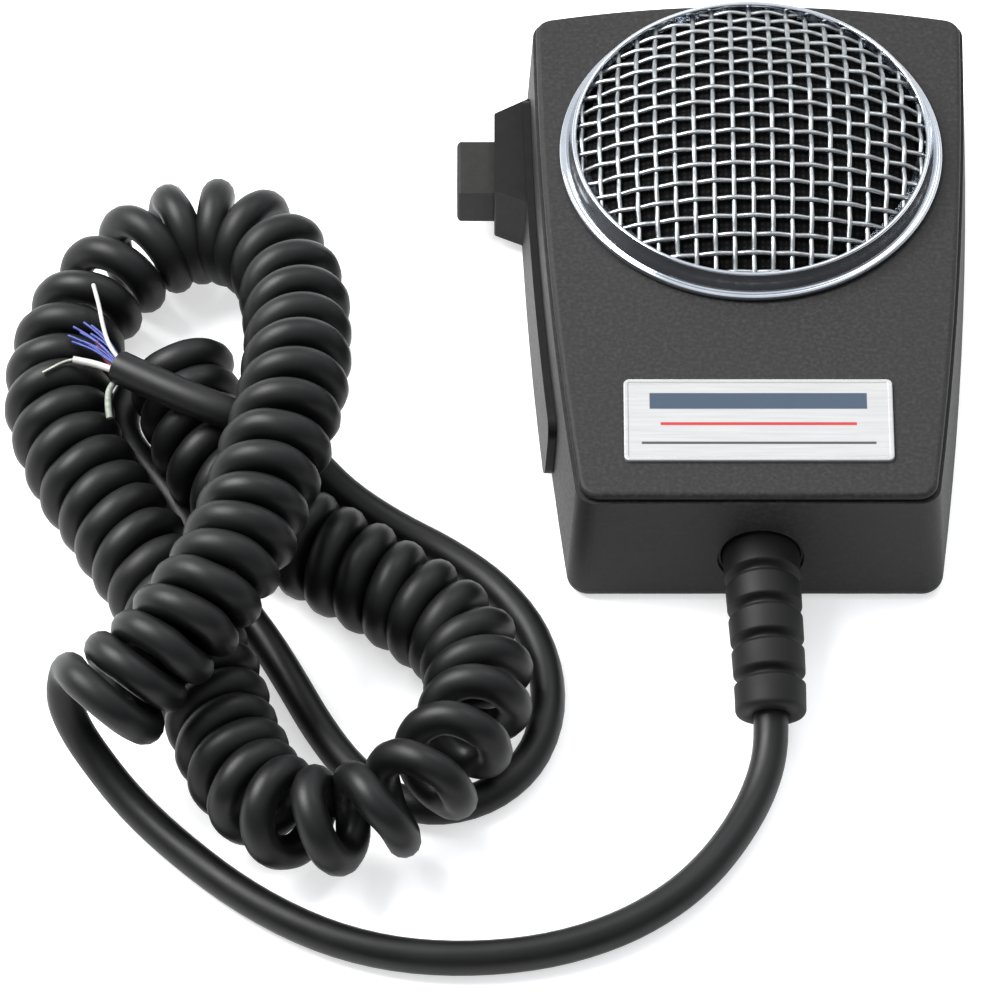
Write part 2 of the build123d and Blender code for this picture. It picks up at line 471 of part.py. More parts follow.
def element_pieces():
    """The cartridge: cup, diaphragm, perforated cap, foam gasket, lugs and terminal board."""
    x, y = ELEMENT_X, GRILLE_Y
    cup = post(x, y, ELEMENT_Z, ELEMENT_TOP, ELEMENT_R)
    cup -= post(x, y, ELEMENT_Z + ELEMENT_WALL, ELEMENT_TOP + 1, ELEMENT_R - ELEMENT_WALL)
    diaphragm = post(x, y, DIAPHRAGM_Z, DIAPHRAGM_Z + DIAPHRAGM_THICKNESS, DIAPHRAGM_R)
    cap = post(x, y, ELEMENT_TOP, ELEMENT_TOP + CAP_THICKNESS, ELEMENT_R)
    for turn in range(CAP_HOLES):
        angle = 2 * math.pi * turn / CAP_HOLES
        hole_x, hole_y = x + CAP_RING_R * math.cos(angle), y + CAP_RING_R * math.sin(angle)
        cap -= post(hole_x, hole_y, ELEMENT_TOP - 1, ELEMENT_TOP + 2, CAP_HOLE_R)
    gasket = post(x, y, *GASKET_Z, ELEMENT_R) - post(x, y, *GASKET_Z, GASKET_INNER_R)
    lugs = [
        block(centred(x + side * LUG_OFFSET, LUG_WIDTH), centred(y, LUG_THICKNESS), (LUG_BOTTOM, ELEMENT_Z))
        for side in (-1, 1)
    ]
    board = post(x, y, *TERMINAL_BOARD_Z, TERMINAL_BOARD_R)
    return {
        "element_housing": cup,
        "element_diaphragm": diaphragm,
        "element_cap": cap,
        "element_gasket": gasket,
        "element_lugs": group(lugs),
        "element_terminal_board": board,
    }


def element_bracket():
    """The strap under the cartridge, screwed to two pillars."""
    ends = (BRACKET_PILLARS[0] - BRACKET_END, BRACKET_PILLARS[1] + BRACKET_END)
    body = block(centred(ELEMENT_X, BRACKET_WIDTH), ends, BRACKET_Z)
    body += post(ELEMENT_X, GRILLE_Y, *BRACKET_Z, BRACKET_DISC_R)
    for y in BRACKET_PILLARS:
        body -= post(ELEMENT_X, y, BRACKET_Z[0] - 1, BRACKET_Z[1] + 1, BOARD_HOLE_R)
    return body


def amplifier_board():
    """The board with its four screw holes."""
    body = block(BOARD_X, BOARD_Y, BOARD_Z)
    for x, y in BOARD_POSTS:
        body -= post(x, y, BOARD_Z[0] - 1, BOARD_Z[1] + 1, BOARD_HOLE_R)
    return body


def board_components():
    """What stands on the board."""
    top = BOARD_Z[1]
    cans = [post(x, y, top, top + CAPACITOR_HEIGHT, radius) for x, y, radius in CAPACITORS]
    resistors = [bar_x(y, top + RESISTOR_R, *centred(x, RESISTOR_LENGTH), RESISTOR_R) for x, y in RESISTORS]
    transistor = post(TRANSISTOR_X, TRANSISTOR_Y, top, top + TRANSISTOR_HEIGHT, TRANSISTOR_R)
    transistor -= block((TRANSISTOR_X - 5, TRANSISTOR_X - 1), centred(TRANSISTOR_Y, 10), (top - 1, top + 9))
    return {"capacitors": group(cans), "resistors": group(resistors), "transistor": transistor}


def gain_trimmer():
    """The trimmer's square body and its slotted rotor."""
    low, high = BOARD_Z[1], BOARD_Z[1] + TRIMMER_HEIGHT
    x, y = TRIMMER_X, TRIMMER_Y
    body = block(centred(x, TRIMMER_SIDE), centred(y, TRIMMER_SIDE), (low, high))
    body -= post(x, y, high - ROTOR_HUB_DEPTH - ROTOR_GAP, high + 1, ROTOR_HUB_R + ROTOR_GAP)
    rotor = post(x, y, high + ROTOR_GAP, high + ROTOR_GAP + ROTOR_HEIGHT, ROTOR_R)
    rotor += post(x, y, high - ROTOR_HUB_DEPTH, high + ROTOR_HEIGHT, ROTOR_HUB_R)
    rotor -= block(centred(x, 2 * ROTOR_R + 1), centred(y, SCREW_CROSS_WIDTH), (high + 0.5, high + 3))
    return body, rotor


def battery():
    """The nine volt battery with its two terminals."""
    body = block(BATTERY_X, BATTERY_Y, BATTERY_Z)
    body = fillet(body.edges().filter_by(Axis.X), BATTERY_ROUND)
    end = BATTERY_X[1]
    for side in (-1, 1):
        y = sum(BATTERY_Y) / 2 + side * TERMINAL_SPREAD
        body += bar_x(y, sum(BATTERY_Z) / 2, end - 0.5, end + TERMINAL_LENGTH, TERMINAL_R)
    return body


def battery_snap():
    """The plate that clips on the battery's terminals."""
    start = BATTERY_X[1] + TERMINAL_LENGTH + PAD_GAP
    length = (BATTERY_Y[0] + SNAP_MARGIN, BATTERY_Y[1] - SNAP_MARGIN)
    height = (BATTERY_Z[0] + SNAP_MARGIN, BATTERY_Z[1] - SNAP_MARGIN)
    body = block((start, start + SNAP_THICKNESS), length, height)
    for side in (-1, 1):
        y = sum(BATTERY_Y) / 2 + side * TERMINAL_SPREAD
        z = sum(BATTERY_Z) / 2
        ring = bar_x(y, z, BATTERY_X[1] + PAD_GAP, start + 0.5, SNAP_RING_R)
        body += ring - bar_x(y, z, BATTERY_X[1], start, TERMINAL_R + PAD_GAP)
    return body


def battery_foam():
    """Foam pads under and over the battery."""
    x = (BATTERY_X[0] + PAD_MARGIN, BATTERY_X[1] - PAD_MARGIN)
    y = (BATTERY_Y[0] + PAD_MARGIN, BATTERY_Y[1] - PAD_MARGIN)
    lower = block(x, y, (WALL + PAD_GAP, BATTERY_Z[0] - PAD_GAP))
    upper = block(x, y, (BATTERY_Z[1] + PAD_GAP, SPLIT_Z - PAD_GAP))
    return group([lower, upper])


def along(path, distance):
    """A frame across a path at a distance, with its y axis nearly upright."""
    share = distance / path.length
    heading = path % share
    side = Vector(0, 0, 1).cross(heading)
    return Plane(origin=path @ share, x_dir=side, z_dir=heading).location


def cord_boot():
    """The strain relief: a tapered sleeve round the cord, notched above and below, with a flange inside."""
    path = route_path(LEAD_ROUTE[:6])
    wall_at = -BOOT_FLANGE_Y[1] + LEAD_ROUTE[0][1]
    tip_at = -LEAD_ROUTE[4][1] + LEAD_ROUTE[0][1] + BOOT_TIP_EXTRA
    sections = []
    for step in range(BOOT_SECTIONS + 1):
        share = step / BOOT_SECTIONS
        at = wall_at + (tip_at - wall_at) * share
        radius = BOOT_BASE_R + (BOOT_TIP_R - BOOT_BASE_R) * share
        sections.append(along(path, at) * Circle(radius))
    sleeve = loft([section.face() for section in sections])
    sleeve += bar_y(BOOT_X, BOOT_Z, *BOOT_FLANGE_Y, BOOT_FLANGE_R)
    sleeve -= tube(LEAD_ROUTE[:6], BOOT_BORE_R)
    first = -BOTTOM_Y + LEAD_ROUTE[0][1] + BOOT_FIRST_SLOT
    for index in range(BOOT_SLOTS):
        place = along(path, first + index * BOOT_SLOT_PITCH)
        floor_r = BOOT_BASE_R - BOOT_SLOT_TAPER * (index + 1) - BOOT_SLOT_DEPTH
        for side in (-1, 1):
            offset = side * (floor_r + BOOT_CUT_DEPTH / 2)
            sleeve -= place * Pos(0, offset, 0) * Box(BOOT_CUT_WIDTH, BOOT_CUT_DEPTH, BOOT_SLOT_WIDTH)
    return sleeve


def cord_clamp():
    """The saddle over the cord."""
    body = block(centred(BOOT_X, 2 * CLAMP_X), CLAMP_Y, CLAMP_Z)
    body = fillet(body.edges().filter_by(Axis.Z), 1.0)
    body -= bar_y(BOOT_X, BOOT_Z, CLAMP_Y[0] - 1, CLAMP_Y[1] + 1, BOOT_BORE_R)
    for side in (-1, 1):
        x = BOOT_X + side * CLAMP_SCREW_OFFSET
        body -= post(x, sum(CLAMP_Y) / 2, 0, CLAMP_Z[1] + 1, BOARD_HOLE_R)
    return body


def screws():
    """Every set of upright screws, each set one node."""
    back = [
        screw(x, y, SHELL_SEAT_Z, SHELL_SHANK_TOP, SHELL_HEAD_R, SHELL_SEAT_Z - SHELL_HEAD_Z, SHELL_SHANK_R)
        for x, y in SHELL_SCREWS
    ]
    clamp_y = sum(CLAMP_Y) / 2
    clamp = [
        screw(BOOT_X + side * CLAMP_SCREW_OFFSET, clamp_y, CLAMP_Z[1], WALL + 1) for side in (-1, 1)
    ]
    frame_seat = FRAME_BASE_Z + FRAME_THICKNESS
    return {
        "case_screws": group(back),
        "cord_clamp_screws": group(clamp),
        "board_screws": group(screw(x, y, BOARD_Z[1], WALL + 0.6) for x, y in BOARD_POSTS),
        "element_screws": group(screw(ELEMENT_X, y, BRACKET_Z[1], WALL + 1) for y in BRACKET_PILLARS),
        "switch_frame_screws": group(
            screw(x, y, frame_seat, FRAME_BASE_Z - FRAME_SCREW_DEPTH + 0.3) for x, y in FRAME_SCREWS
        ),
    }


def case_nodes():
    """Shells, grille, name plate and insert."""
    retainer = post(0, GRILLE_Y, SPLIT_Z - RETAINER_HEIGHT, SPLIT_Z, RETAINER_R)
    retainer -= post(0, GRILLE_Y, 0, SPLIT_Z + 1, BEZEL_SPIGOT_R + THREAD_GAP)
    plate_z = (CASE_HEIGHT, CASE_HEIGHT + PLATE_THICKNESS)
    plate = block(centred(PLATE_X, PLATE_WIDTH), centred(PLATE_Y, PLATE_LENGTH), plate_z)
    insert = post(INSERT_X, INSERT_Y, 0, INSERT_LENGTH, INSERT_R)
    return {
        "rear_case": rear_case(),
        "front_cover": front_cover(),
        "grille_bezel": grille_bezel(),
        "grille_mesh": dome_shell(0.0, DOME_THICKNESS, DOME_RIM_R),
        "grille_cloth": dome_shell(CLOTH_DROP, CLOTH_THICKNESS, CLOTH_R),
        "grille_retainer": retainer,
        "name_plate": fillet(plate.edges().filter_by(Axis.Z), PLATE_CORNER),
        "hang_button_insert": insert - post(INSERT_X, INSERT_Y, -1, INSERT_LENGTH + 1, INSERT_HOLE_R),
    }


def switch_nodes():
    """Everything of the push-to-talk switch."""
    blade, root, fixed = switch_leaves()
    clips = [
        bar_x(y, PTT_Z, clip_x, clip_x + CLIP_THICKNESS, CLIP_R)
        - bar_x(y, PTT_Z, clip_x - 1, clip_x + 2, STUD_R + THREAD_GAP)
        for y, clip_x, _ in STUDS
    ]
    return {
        "ptt_side_plate": ptt_side_plate(),
        "ptt_plate_clips": group(clips),
        "ptt_button": ptt_button(),
        "ptt_spring": ptt_spring(),
        "switch_frame": switch_frame(),
        "switch_insulators": switch_insulators(),
        "switch_moving_leaf": blade,
        "switch_leaf_root": root,
        "switch_fixed_leaf": fixed,
        "switch_stack_screws": stack_screws(),
    }


def electric_nodes():
    """Bracket, board and battery."""
    trimmer_body, trimmer_rotor = gain_trimmer()
    return {
        "element_bracket": element_bracket(),
        "amplifier_board": amplifier_board(),
        "gain_trimmer_body": trimmer_body,
        "gain_trimmer_rotor": trimmer_rotor,
        "battery": battery(),
        "battery_snap": battery_snap(),
        "battery_foam": battery_foam(),
        "battery_wires": group(tube(route, WIRE_R) for route in BATTERY_WIRE_ROUTES),
        "inner_wires": group(tube(route, WIRE_R) for route in INNER_WIRE_ROUTES),
    }


def cord_nodes():
    """Boot, clamp, the cord's three stretches and its stripped conductors."""
    nodes = {
        "cord_boot": cord_boot(),
        "cord_clamp": cord_clamp(),
        "cord_lead": cord_tube(LEAD_ROUTE, CORD_R, "lead"),
        "cord_coil": cord_tube(COIL_ROUTE, COIL_R, "coil"),
        "cord_tail": cord_tube(TAIL_ROUTE, CORD_R, "tail"),
    }
    for name, (route, radius) in CONDUCTORS.items():
        nodes[name] = tube(route, radius)
    return nodes


os.makedirs("parts", exist_ok=True)
for nodes in (case_nodes(), switch_nodes(), element_pieces(), electric_nodes(), board_components(), screws(),
              cord_nodes()):
    for node_name, shape in nodes.items():
        save(shape, node_name)
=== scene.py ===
"""Hand microphone with a curly cord: its looks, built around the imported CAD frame.

Metres, with +Z out of the grille and +Y towards the grille's end.
"""

import bpy
import bmesh
import json
import math
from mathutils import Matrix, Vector


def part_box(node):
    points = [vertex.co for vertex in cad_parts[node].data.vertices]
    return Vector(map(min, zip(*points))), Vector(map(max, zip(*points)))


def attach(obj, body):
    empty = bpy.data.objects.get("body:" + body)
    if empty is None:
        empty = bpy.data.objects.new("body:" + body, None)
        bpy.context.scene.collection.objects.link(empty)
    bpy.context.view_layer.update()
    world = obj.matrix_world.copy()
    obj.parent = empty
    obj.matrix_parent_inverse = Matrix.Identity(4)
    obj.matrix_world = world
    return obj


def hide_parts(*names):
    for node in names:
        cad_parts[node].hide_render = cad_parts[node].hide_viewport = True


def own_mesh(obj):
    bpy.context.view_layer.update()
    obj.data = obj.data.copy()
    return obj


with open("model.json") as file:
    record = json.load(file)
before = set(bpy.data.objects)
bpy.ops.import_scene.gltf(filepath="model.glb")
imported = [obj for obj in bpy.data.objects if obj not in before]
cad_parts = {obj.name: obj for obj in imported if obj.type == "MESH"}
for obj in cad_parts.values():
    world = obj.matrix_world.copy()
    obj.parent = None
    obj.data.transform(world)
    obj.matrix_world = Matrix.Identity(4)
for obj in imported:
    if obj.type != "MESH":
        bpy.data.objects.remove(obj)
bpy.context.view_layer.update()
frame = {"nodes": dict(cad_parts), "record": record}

# Camera: looks down at the front from the cord's end.
CAMERA_PLACE = (-0.042098, -0.920596, 1.137332)
CAMERA_TILT = math.radians(38.01)
CAMERA_LENS = 323.7

# The pale floor is lit a little from below, as a light table is.
FLOOR_GLOW = 0.55
FLOOR_HALF = 3.0

# Lights: place, size and power, all aimed at the middle of the object.
LIGHT_AIM = Vector((-0.03, -0.03, 0.01))
LIGHTS = {"key": ((-0.7, 0.25, 0.95), 0.7, 32), "top": ((0.35, 0.5, 1.0), 0.5, 3)}

# The white room: it is dark below the first Z or nearer than the first Y, and pale past the second one.
ROOM_HEIGHTS, ROOM_DEPTHS = (0.3, 0.85), (-0.35, 0.25)
ROOM_DARK, ROOM_PALE, ROOM_STRENGTH = (0.06, 0.065, 0.075), (0.95, 0.97, 1.0), 1.2

# Cord.
CORD_DIAMETER = 0.0055
COIL_RADIUS = 0.006
POINTS_PER_TURN = 14
FIRST_TURN_EXTRA = 0.0016
START_ANGLE = math.radians(-20)
END_ANGLE = math.radians(140)
AXIS_STEP = 0.0005
HEADING_REACH = 4

# Each turn is a little larger or smaller than the next: share of the radius, and waves per turn.
TURN_WANDER = [(0.015, 2.3), (0.012, 5.1)]

# The extra width of the first turn is gone after this many turns.
FIRST_TURN_FADE = 1.2

# How far apart the turns stand at a distance along the coil's axis: tight, then fanned round each bend.
TURN_SPACING = [
    (0.0, 0.0062), (0.008, 0.0057), (0.03, 0.0057), (0.048, 0.0064), (0.075, 0.0072), (0.095, 0.0088),
    (0.112, 0.008), (0.122, 0.0062), (0.13, 0.0066), (0.138, 0.0078), (0.152, 0.0076), (0.163, 0.0058),
    (0.255, 0.0057), (0.264, 0.0076), (0.285, 0.0095), (0.298, 0.0104), (0.309, 0.0074), (0.318, 0.0058),
    (0.4, 0.0057),
]

# Route of the cord's centre line: lead, axis of the coil, tail. It follows the CAD tubes, apart from a few
# millimetres where the coil becomes the tail and in the valley between the strands.
LEAD_ROUTE = [
    (0.00065, -0.0418, 0.0107), (0.0007, -0.0512, 0.01065), (0.0011, -0.0606, 0.01),
    (0.0016, -0.0694, 0.0084), (0.0019, -0.0776, 0.0062), (0.0018, -0.0852, 0.0039),
    (-0.0003, -0.0924, 0.0028), (-0.0038, -0.0998, 0.0028), (-0.0084, -0.1068, 0.0028),
    (-0.0142, -0.1128, 0.0028), (-0.0224, -0.1183, 0.0028), (-0.033, -0.1222, 0.0028),
    (-0.045, -0.1237, 0.0028), (-0.057, -0.1229, 0.0028), (-0.0686, -0.1192, 0.0028),
    (-0.08, -0.1122, 0.0028), (-0.09, -0.1032, 0.0028), (-0.0978, -0.095, 0.0034),
    (-0.1034, -0.0888, 0.0066), (-0.1072, -0.0852, 0.0114), (-0.1088, -0.0832, 0.0172),
    (-0.1076, -0.0819, 0.0226), (-0.1042, -0.0818, 0.026),
]
COIL_ROUTE = [
    (-0.1022, -0.0884, 0.0214), (-0.0964, -0.0846, 0.0248), (-0.0896, -0.0784, 0.028),
    (-0.0834, -0.0686, 0.0296), (-0.0788, -0.0564, 0.03), (-0.0752, -0.0426, 0.0296),
    (-0.073, -0.0296, 0.0282), (-0.0726, -0.0154, 0.0232), (-0.074, -0.0024, 0.018),
    (-0.0772, 0.0078, 0.0142), (-0.0824, 0.0138, 0.012), (-0.089, 0.0159, 0.0108),
    (-0.0958, 0.0142, 0.0098), (-0.1024, 0.0084, 0.0092), (-0.1084, -0.0009, 0.0088),
    (-0.1119, -0.0117, 0.0088), (-0.1114, -0.0223, 0.0088), (-0.1078, -0.032, 0.0088),
    (-0.1026, -0.0417, 0.0088), (-0.0964, -0.052, 0.0088), (-0.0908, -0.0632, 0.0088),
    (-0.0864, -0.0749, 0.009), (-0.0832, -0.0873, 0.01), (-0.0788, -0.0986, 0.0112),
    (-0.0716, -0.105, 0.0128), (-0.0625, -0.1058, 0.015), (-0.0538, -0.1012, 0.0156),
    (-0.0468, -0.0904, 0.0142), (-0.0434, -0.0792, 0.0106), (-0.0448, -0.0692, 0.009),
    (-0.0516, -0.0614, 0.0088), (-0.0604, -0.055, 0.0088), (-0.0694, -0.049, 0.0088),
    (-0.0778, -0.0422, 0.0088), (-0.0846, -0.0342, 0.0088), (-0.0892, -0.0252, 0.0088),
    (-0.0918, -0.0128, 0.0092),
]
TAIL_ROUTE = [
    (-0.0867, -0.0108, 0.0066), (-0.0899, -0.0103, 0.0032), (-0.0954, -0.0088, 0.0028),
    (-0.1006, -0.0116, 0.0028),
    (-0.102, -0.0204, 0.0028), (-0.0966, -0.0286, 0.0028), (-0.0916, -0.0364, 0.0028),
    (-0.0885, -0.0456, 0.0028), (-0.0827, -0.0541, 0.0028), (-0.0774, -0.0626, 0.0028),
    (-0.0732, -0.0709, 0.0028), (-0.0692, -0.0793, 0.0028), (-0.0641, -0.0875, 0.0028),
    (-0.0578, -0.0933, 0.0028), (-0.05, -0.0954, 0.0028), (-0.0413, -0.0923, 0.0028),
    (-0.0348, -0.0846, 0.0028), (-0.0325, -0.0734, 0.0028), (-0.0346, -0.0618, 0.0028),
    (-0.0406, -0.052, 0.0028), (-0.0488, -0.045, 0.003), (-0.0574, -0.0406, 0.0042),
    (-0.0654, -0.0368, 0.0078), (-0.0712, -0.0328, 0.0126), (-0.0766, -0.0306, 0.017),
    (-0.0836, -0.0302, 0.0204), (-0.0922, -0.0264, 0.0208), (-0.1014, -0.02, 0.0195),
]

# Stripped conductors at the cord's end: route, radius and slot.
CONDUCTORS = {
    "wire_white_long": (
        [(-0.1013, -0.0195, 0.0208), (-0.103, -0.0172, 0.0211), (-0.1042, -0.0122, 0.0207),
         (-0.105, -0.007, 0.0199), (-0.106, -0.0024, 0.0187)], 0.00035, "wire_white"),
    "wire_blue": (
        [(-0.101, -0.0199, 0.0196), (-0.1027, -0.0176, 0.0196), (-0.105, -0.0146, 0.0194),
         (-0.1078, -0.0124, 0.0189)], 0.0006, "wire_blue"),
    "wire_white_short": (
        [(-0.1016, -0.0205, 0.0189), (-0.1034, -0.0195, 0.0187), (-0.1061, -0.0183, 0.0185),
         (-0.1088, -0.0176, 0.0184)], 0.0006, "wire_white"),
    "wire_bare_strand": (
        [(-0.1088, -0.0176, 0.0184), (-0.1102, -0.0179, 0.0183), (-0.1118, -0.0189, 0.0182),
         (-0.1136, -0.0198, 0.0178)], 0.0003, "wire_tinned"),
    "wire_screen": (
        [(-0.1009, -0.021, 0.018), (-0.1023, -0.0216, 0.0178), (-0.1034, -0.0244, 0.0174),
         (-0.1028, -0.0278, 0.0162)], 0.00055, "wire_screen"),
    "wire_red": (
        [(-0.102, -0.0192, 0.0181), (-0.1036, -0.0174, 0.0181), (-0.1046, -0.0152, 0.0181),
         (-0.1052, -0.0136, 0.0182)], 0.0004, "wire_red"),
}

# Conductors that end in loose strands, with how many, and the strands' thickness, gap at the root and spread
# from point to point as shares of the conductor's radius.
FRAYED = {"wire_blue": 7}
STRAND_THICKNESS, STRAND_GAP, STRAND_SPREAD = 0.35, 0.6, 0.9

# Push-to-talk return spring: it stands between the button's shoulder and the switch frame.
SPRING_TURNS, SPRING_COIL_R, SPRING_WIRE_R, SPRING_POINTS_PER_TURN = 6, 0.0026, 0.00025, 16

# Strain relief, as radii and as distances along the lead: it starts inside the case's wall.
BOOT_WALL_R, BOOT_TIP_R, BOOT_BORE_R, BOOT_FLANGE_R = 0.0062, 0.0056, 0.0029, 0.0074
BOOT_START, BOOT_FLANGE_END, BOOT_END, BOOT_ROUND = 0.0056, 0.0072, 0.0378, 0.0009
BOOT_GROOVES, BOOT_FIRST_GROOVE, BOOT_GROOVE_STEP = 4, 0.0147, 0.00575
BOOT_GROOVE_HALF, BOOT_GROOVE_DEPTH, BOOT_GROOVE_POWER = 0.001, 0.0012, 0.6
BOOT_STEP, BOOT_SIDES, BOOT_BORE_EVERY, BOOT_HEADING_REACH = 0.0002, 64, 10, 5

# Battery foam and cartridge gasket.
FOAM_GAP, FOAM_ROUND = 0.00005, 0.0005
GASKET_WIDTH, GASKET_ROUND = 0.0032, 0.0004

# Grille.
GRILLE_Y = 0.019
DOME_RIM_R, DOME_RIM_Z, DOME_RISE = 0.0282, 0.0288, 0.00695
DOME_R = (DOME_RIM_R**2 + DOME_RISE**2) / (2 * DOME_RISE)
DOME_CENTRE = Vector((0, GRILLE_Y, DOME_RIM_Z + DOME_RISE - DOME_R))
MESH_PITCH = 0.00315
MESH_WIRE_R = 0.00044
MESH_WAVE = 0.0002
MESH_EDGE_R = 0.0284
MESH_STEPS = 8
CLOTH_DROP = 0.00115
CLOTH_EDGE_R = 0.0266
CLOTH_THICKNESS = 0.0004
CLOTH_RINGS = 24

# Name plate: rim and recess, and the half width, bottom, top and colour of its plain stripes.
PLATE_CORNER = 0.001
PLATE_HEIGHT, PLATE_RIM, PLATE_EDGE, PLATE_RECESS = 0.0006, 0.0006, 0.0002, 0.00012
PLATE_CHAMFER = 0.3 * PLATE_EDGE
PLATE_STRIPE_BLUR = 0.00006
PLATE_STRIPES = [
    (0.0172, 0.0104, 0.0136, (0.02, 0.036, 0.062)),
    (0.0155, 0.0071, 0.0077, (0.3, 0.012, 0.012)),
    (0.0185, 0.0033, 0.0038, (0.03, 0.03, 0.032)),
]


# ---------------------------------------------------------------- materials

def tree_of(material):
    """The node tree, its Principled shader and a coordinate node."""
    material.use_nodes = True
    nodes = material.node_tree.nodes
    return nodes, material.node_tree.links, nodes["Principled BSDF"], nodes.new("ShaderNodeTexCoord")


def noise(nodes, links, vector, scale, detail=4.0, roughness=0.55):
    """A noise texture on a vector."""
    node = nodes.new("ShaderNodeTexNoise")
    node.inputs["Scale"].default_value = scale
    node.inputs["Detail"].default_value = detail
    node.inputs["Roughness"].default_value = roughness
    links.new(vector, node.inputs["Vector"])
    return node.outputs["Fac"]


def spread(nodes, links, value, low, high, out_low, out_high):
    """Maps a value from one range to another."""
    node = nodes.new("ShaderNodeMapRange")
    for name, number in (("From Min", low), ("From Max", high), ("To Min", out_low), ("To Max", out_high)):
        node.inputs[name].default_value = number
    links.new(value, node.inputs["Value"])
    return node.outputs["Result"]


def mix_colours(nodes, links, factor, first, second):
    """Blends two colours, each a triple or a socket."""
    node = nodes.new("ShaderNodeMix")
    node.data_type = "RGBA"
    links.new(factor, node.inputs["Factor"])
    for socket, colour in ((node.inputs[6], first), (node.inputs[7], second)):
        if isinstance(colour, tuple):
            socket.default_value = (*colour, 1)
        else:
            links.new(colour, socket)
    return node.outputs[2]


def add_bump(nodes, links, shader, height, strength, distance, under=None):
    """Adds relief to a shader, on top of another relief if one is given."""
    node = nodes.new("ShaderNodeBump")
    node.inputs["Strength"].default_value = strength
    node.inputs["Distance"].default_value = distance
    links.new(height, node.inputs["Height"])
    if under is not None:
        links.new(under, node.inputs["Normal"])
    links.new(node.outputs["Normal"], shader.inputs["Normal"])
    return node.outputs["Normal"]


def stretched(nodes, links, coordinate, scale):
    """A vector scaled by a different number on each axis."""
    node = nodes.new("ShaderNodeMapping")
    node.inputs["Scale"].default_value = scale
    links.new(coordinate.outputs["Object"], node.inputs["Vector"])
    return node.outputs["Vector"]


def plain_material(name, colour, second, scale, rough, bump=0.0, metallic=0.0, stretch=(1, 1, 1), **sockets):
    """Two tones that wander into each other, with grain in the roughness and the relief."""
    material = bpy.data.materials.new(name)
    nodes, links, shader, coordinate = tree_of(material)
    vector = stretched(nodes, links, coordinate, stretch)
    broad = noise(nodes, links, vector, scale)
    fine = noise(nodes, links, vector, scale * 7, detail=2.0)
    tone = spread(nodes, links, broad, 0.3, 0.7, 0.0, 1.0)
    links.new(mix_colours(nodes, links, tone, colour, second), shader.inputs["Base Color"])
    links.new(spread(nodes, links, fine, 0.3, 0.7, *rough), shader.inputs["Roughness"])
    shader.inputs["Metallic"].default_value = metallic
    if bump:
        add_bump(nodes, links, shader, fine, 0.5, bump)
    for socket, value in sockets.items():
        shader.inputs[socket.replace("_", " ")].default_value = value
    return material


def paint_material(name, colour, fleck, rough):
    """Sprayed wrinkle paint: fine grains with paler flecks."""
    material = bpy.data.materials.new(name)
    nodes, links, shader, coordinate = tree_of(material)
    vector = coordinate.outputs["Object"]
    grain = noise(nodes, links, vector, 1500, detail=4.0)
    ripple = noise(nodes, links, vector, 700, detail=3.0)
    flecks = spread(nodes, links, grain, 0.42, 0.68, 0.0, 0.6)
    tone = mix_colours(nodes, links, flecks, colour, fleck)
    shade = spread(nodes, links, ripple, 0.35, 0.65, 0.0, 0.4)
    links.new(mix_colours(nodes, links, shade, tone, colour), shader.inputs["Base Color"])
    links.new(spread(nodes, links, grain, 0.3, 0.7, *rough), shader.inputs["Roughness"])
    fine = add_bump(nodes, links, shader, grain, 0.4, 0.00005)
    add_bump(nodes, links, shader, ripple, 0.2, 0.00005, fine)
    shader.inputs["Specular IOR Level"].default_value = 0.2
    return material


def rubber_material(name, colour, second, rough, gloss):
    """Satin black rubber: faint dust and a fine skin."""
    material = bpy.data.materials.new(name)
    nodes, links, shader, coordinate = tree_of(material)
    vector = coordinate.outputs["Object"]
    dust = noise(nodes, links, vector, 90, detail=5.0)
    skin = noise(nodes, links, vector, 2600, detail=2.0)
    tone = spread(nodes, links, dust, 0.35, 0.7, 0.0, 1.0)
    links.new(mix_colours(nodes, links, tone, colour, second), shader.inputs["Base Color"])
    links.new(spread(nodes, links, dust, 0.3, 0.7, *rough), shader.inputs["Roughness"])
    add_bump(nodes, links, shader, skin, 0.3, 0.00004)
    shader.inputs["Specular IOR Level"].default_value = gloss
    return material


def cloth_material(name, colour, second, threads):
    """Plain weave: two crossed waves lift the threads over each other, with painted shade in the weave's
    hollows.
    """
    material = bpy.data.materials.new(name)
    nodes, links, shader, coordinate = tree_of(material)
    waves = []
    for direction in ("X", "Y"):
        wave = nodes.new("ShaderNodeTexWave")
        wave.bands_direction = direction
        wave.inputs["Scale"].default_value = threads
        wave.inputs["Distortion"].default_value = 0.6
        wave.inputs["Detail Scale"].default_value = 40
        links.new(coordinate.outputs["Object"], wave.inputs["Vector"])
        waves.append(wave.outputs["Fac"])
    product = nodes.new("ShaderNodeMath")
    product.operation = "MULTIPLY"
    links.new(waves[0], product.inputs[0])
    links.new(waves[1], product.inputs[1])
    height = product.outputs["Value"]
    # Painted shade: where the weave is low the colour is darker, and on the thread tops it is lighter.
    links.new(mix_colours(nodes, links, height, colour, second), shader.inputs["Base Color"])
    links.new(spread(nodes, links, height, 0.0, 1.0, 0.95, 0.8), shader.inputs["Roughness"])
    add_bump(nodes, links, shader, height, 0.7, 0.0001)
    shader.inputs["Specular IOR Level"].default_value = 0.1
    return material


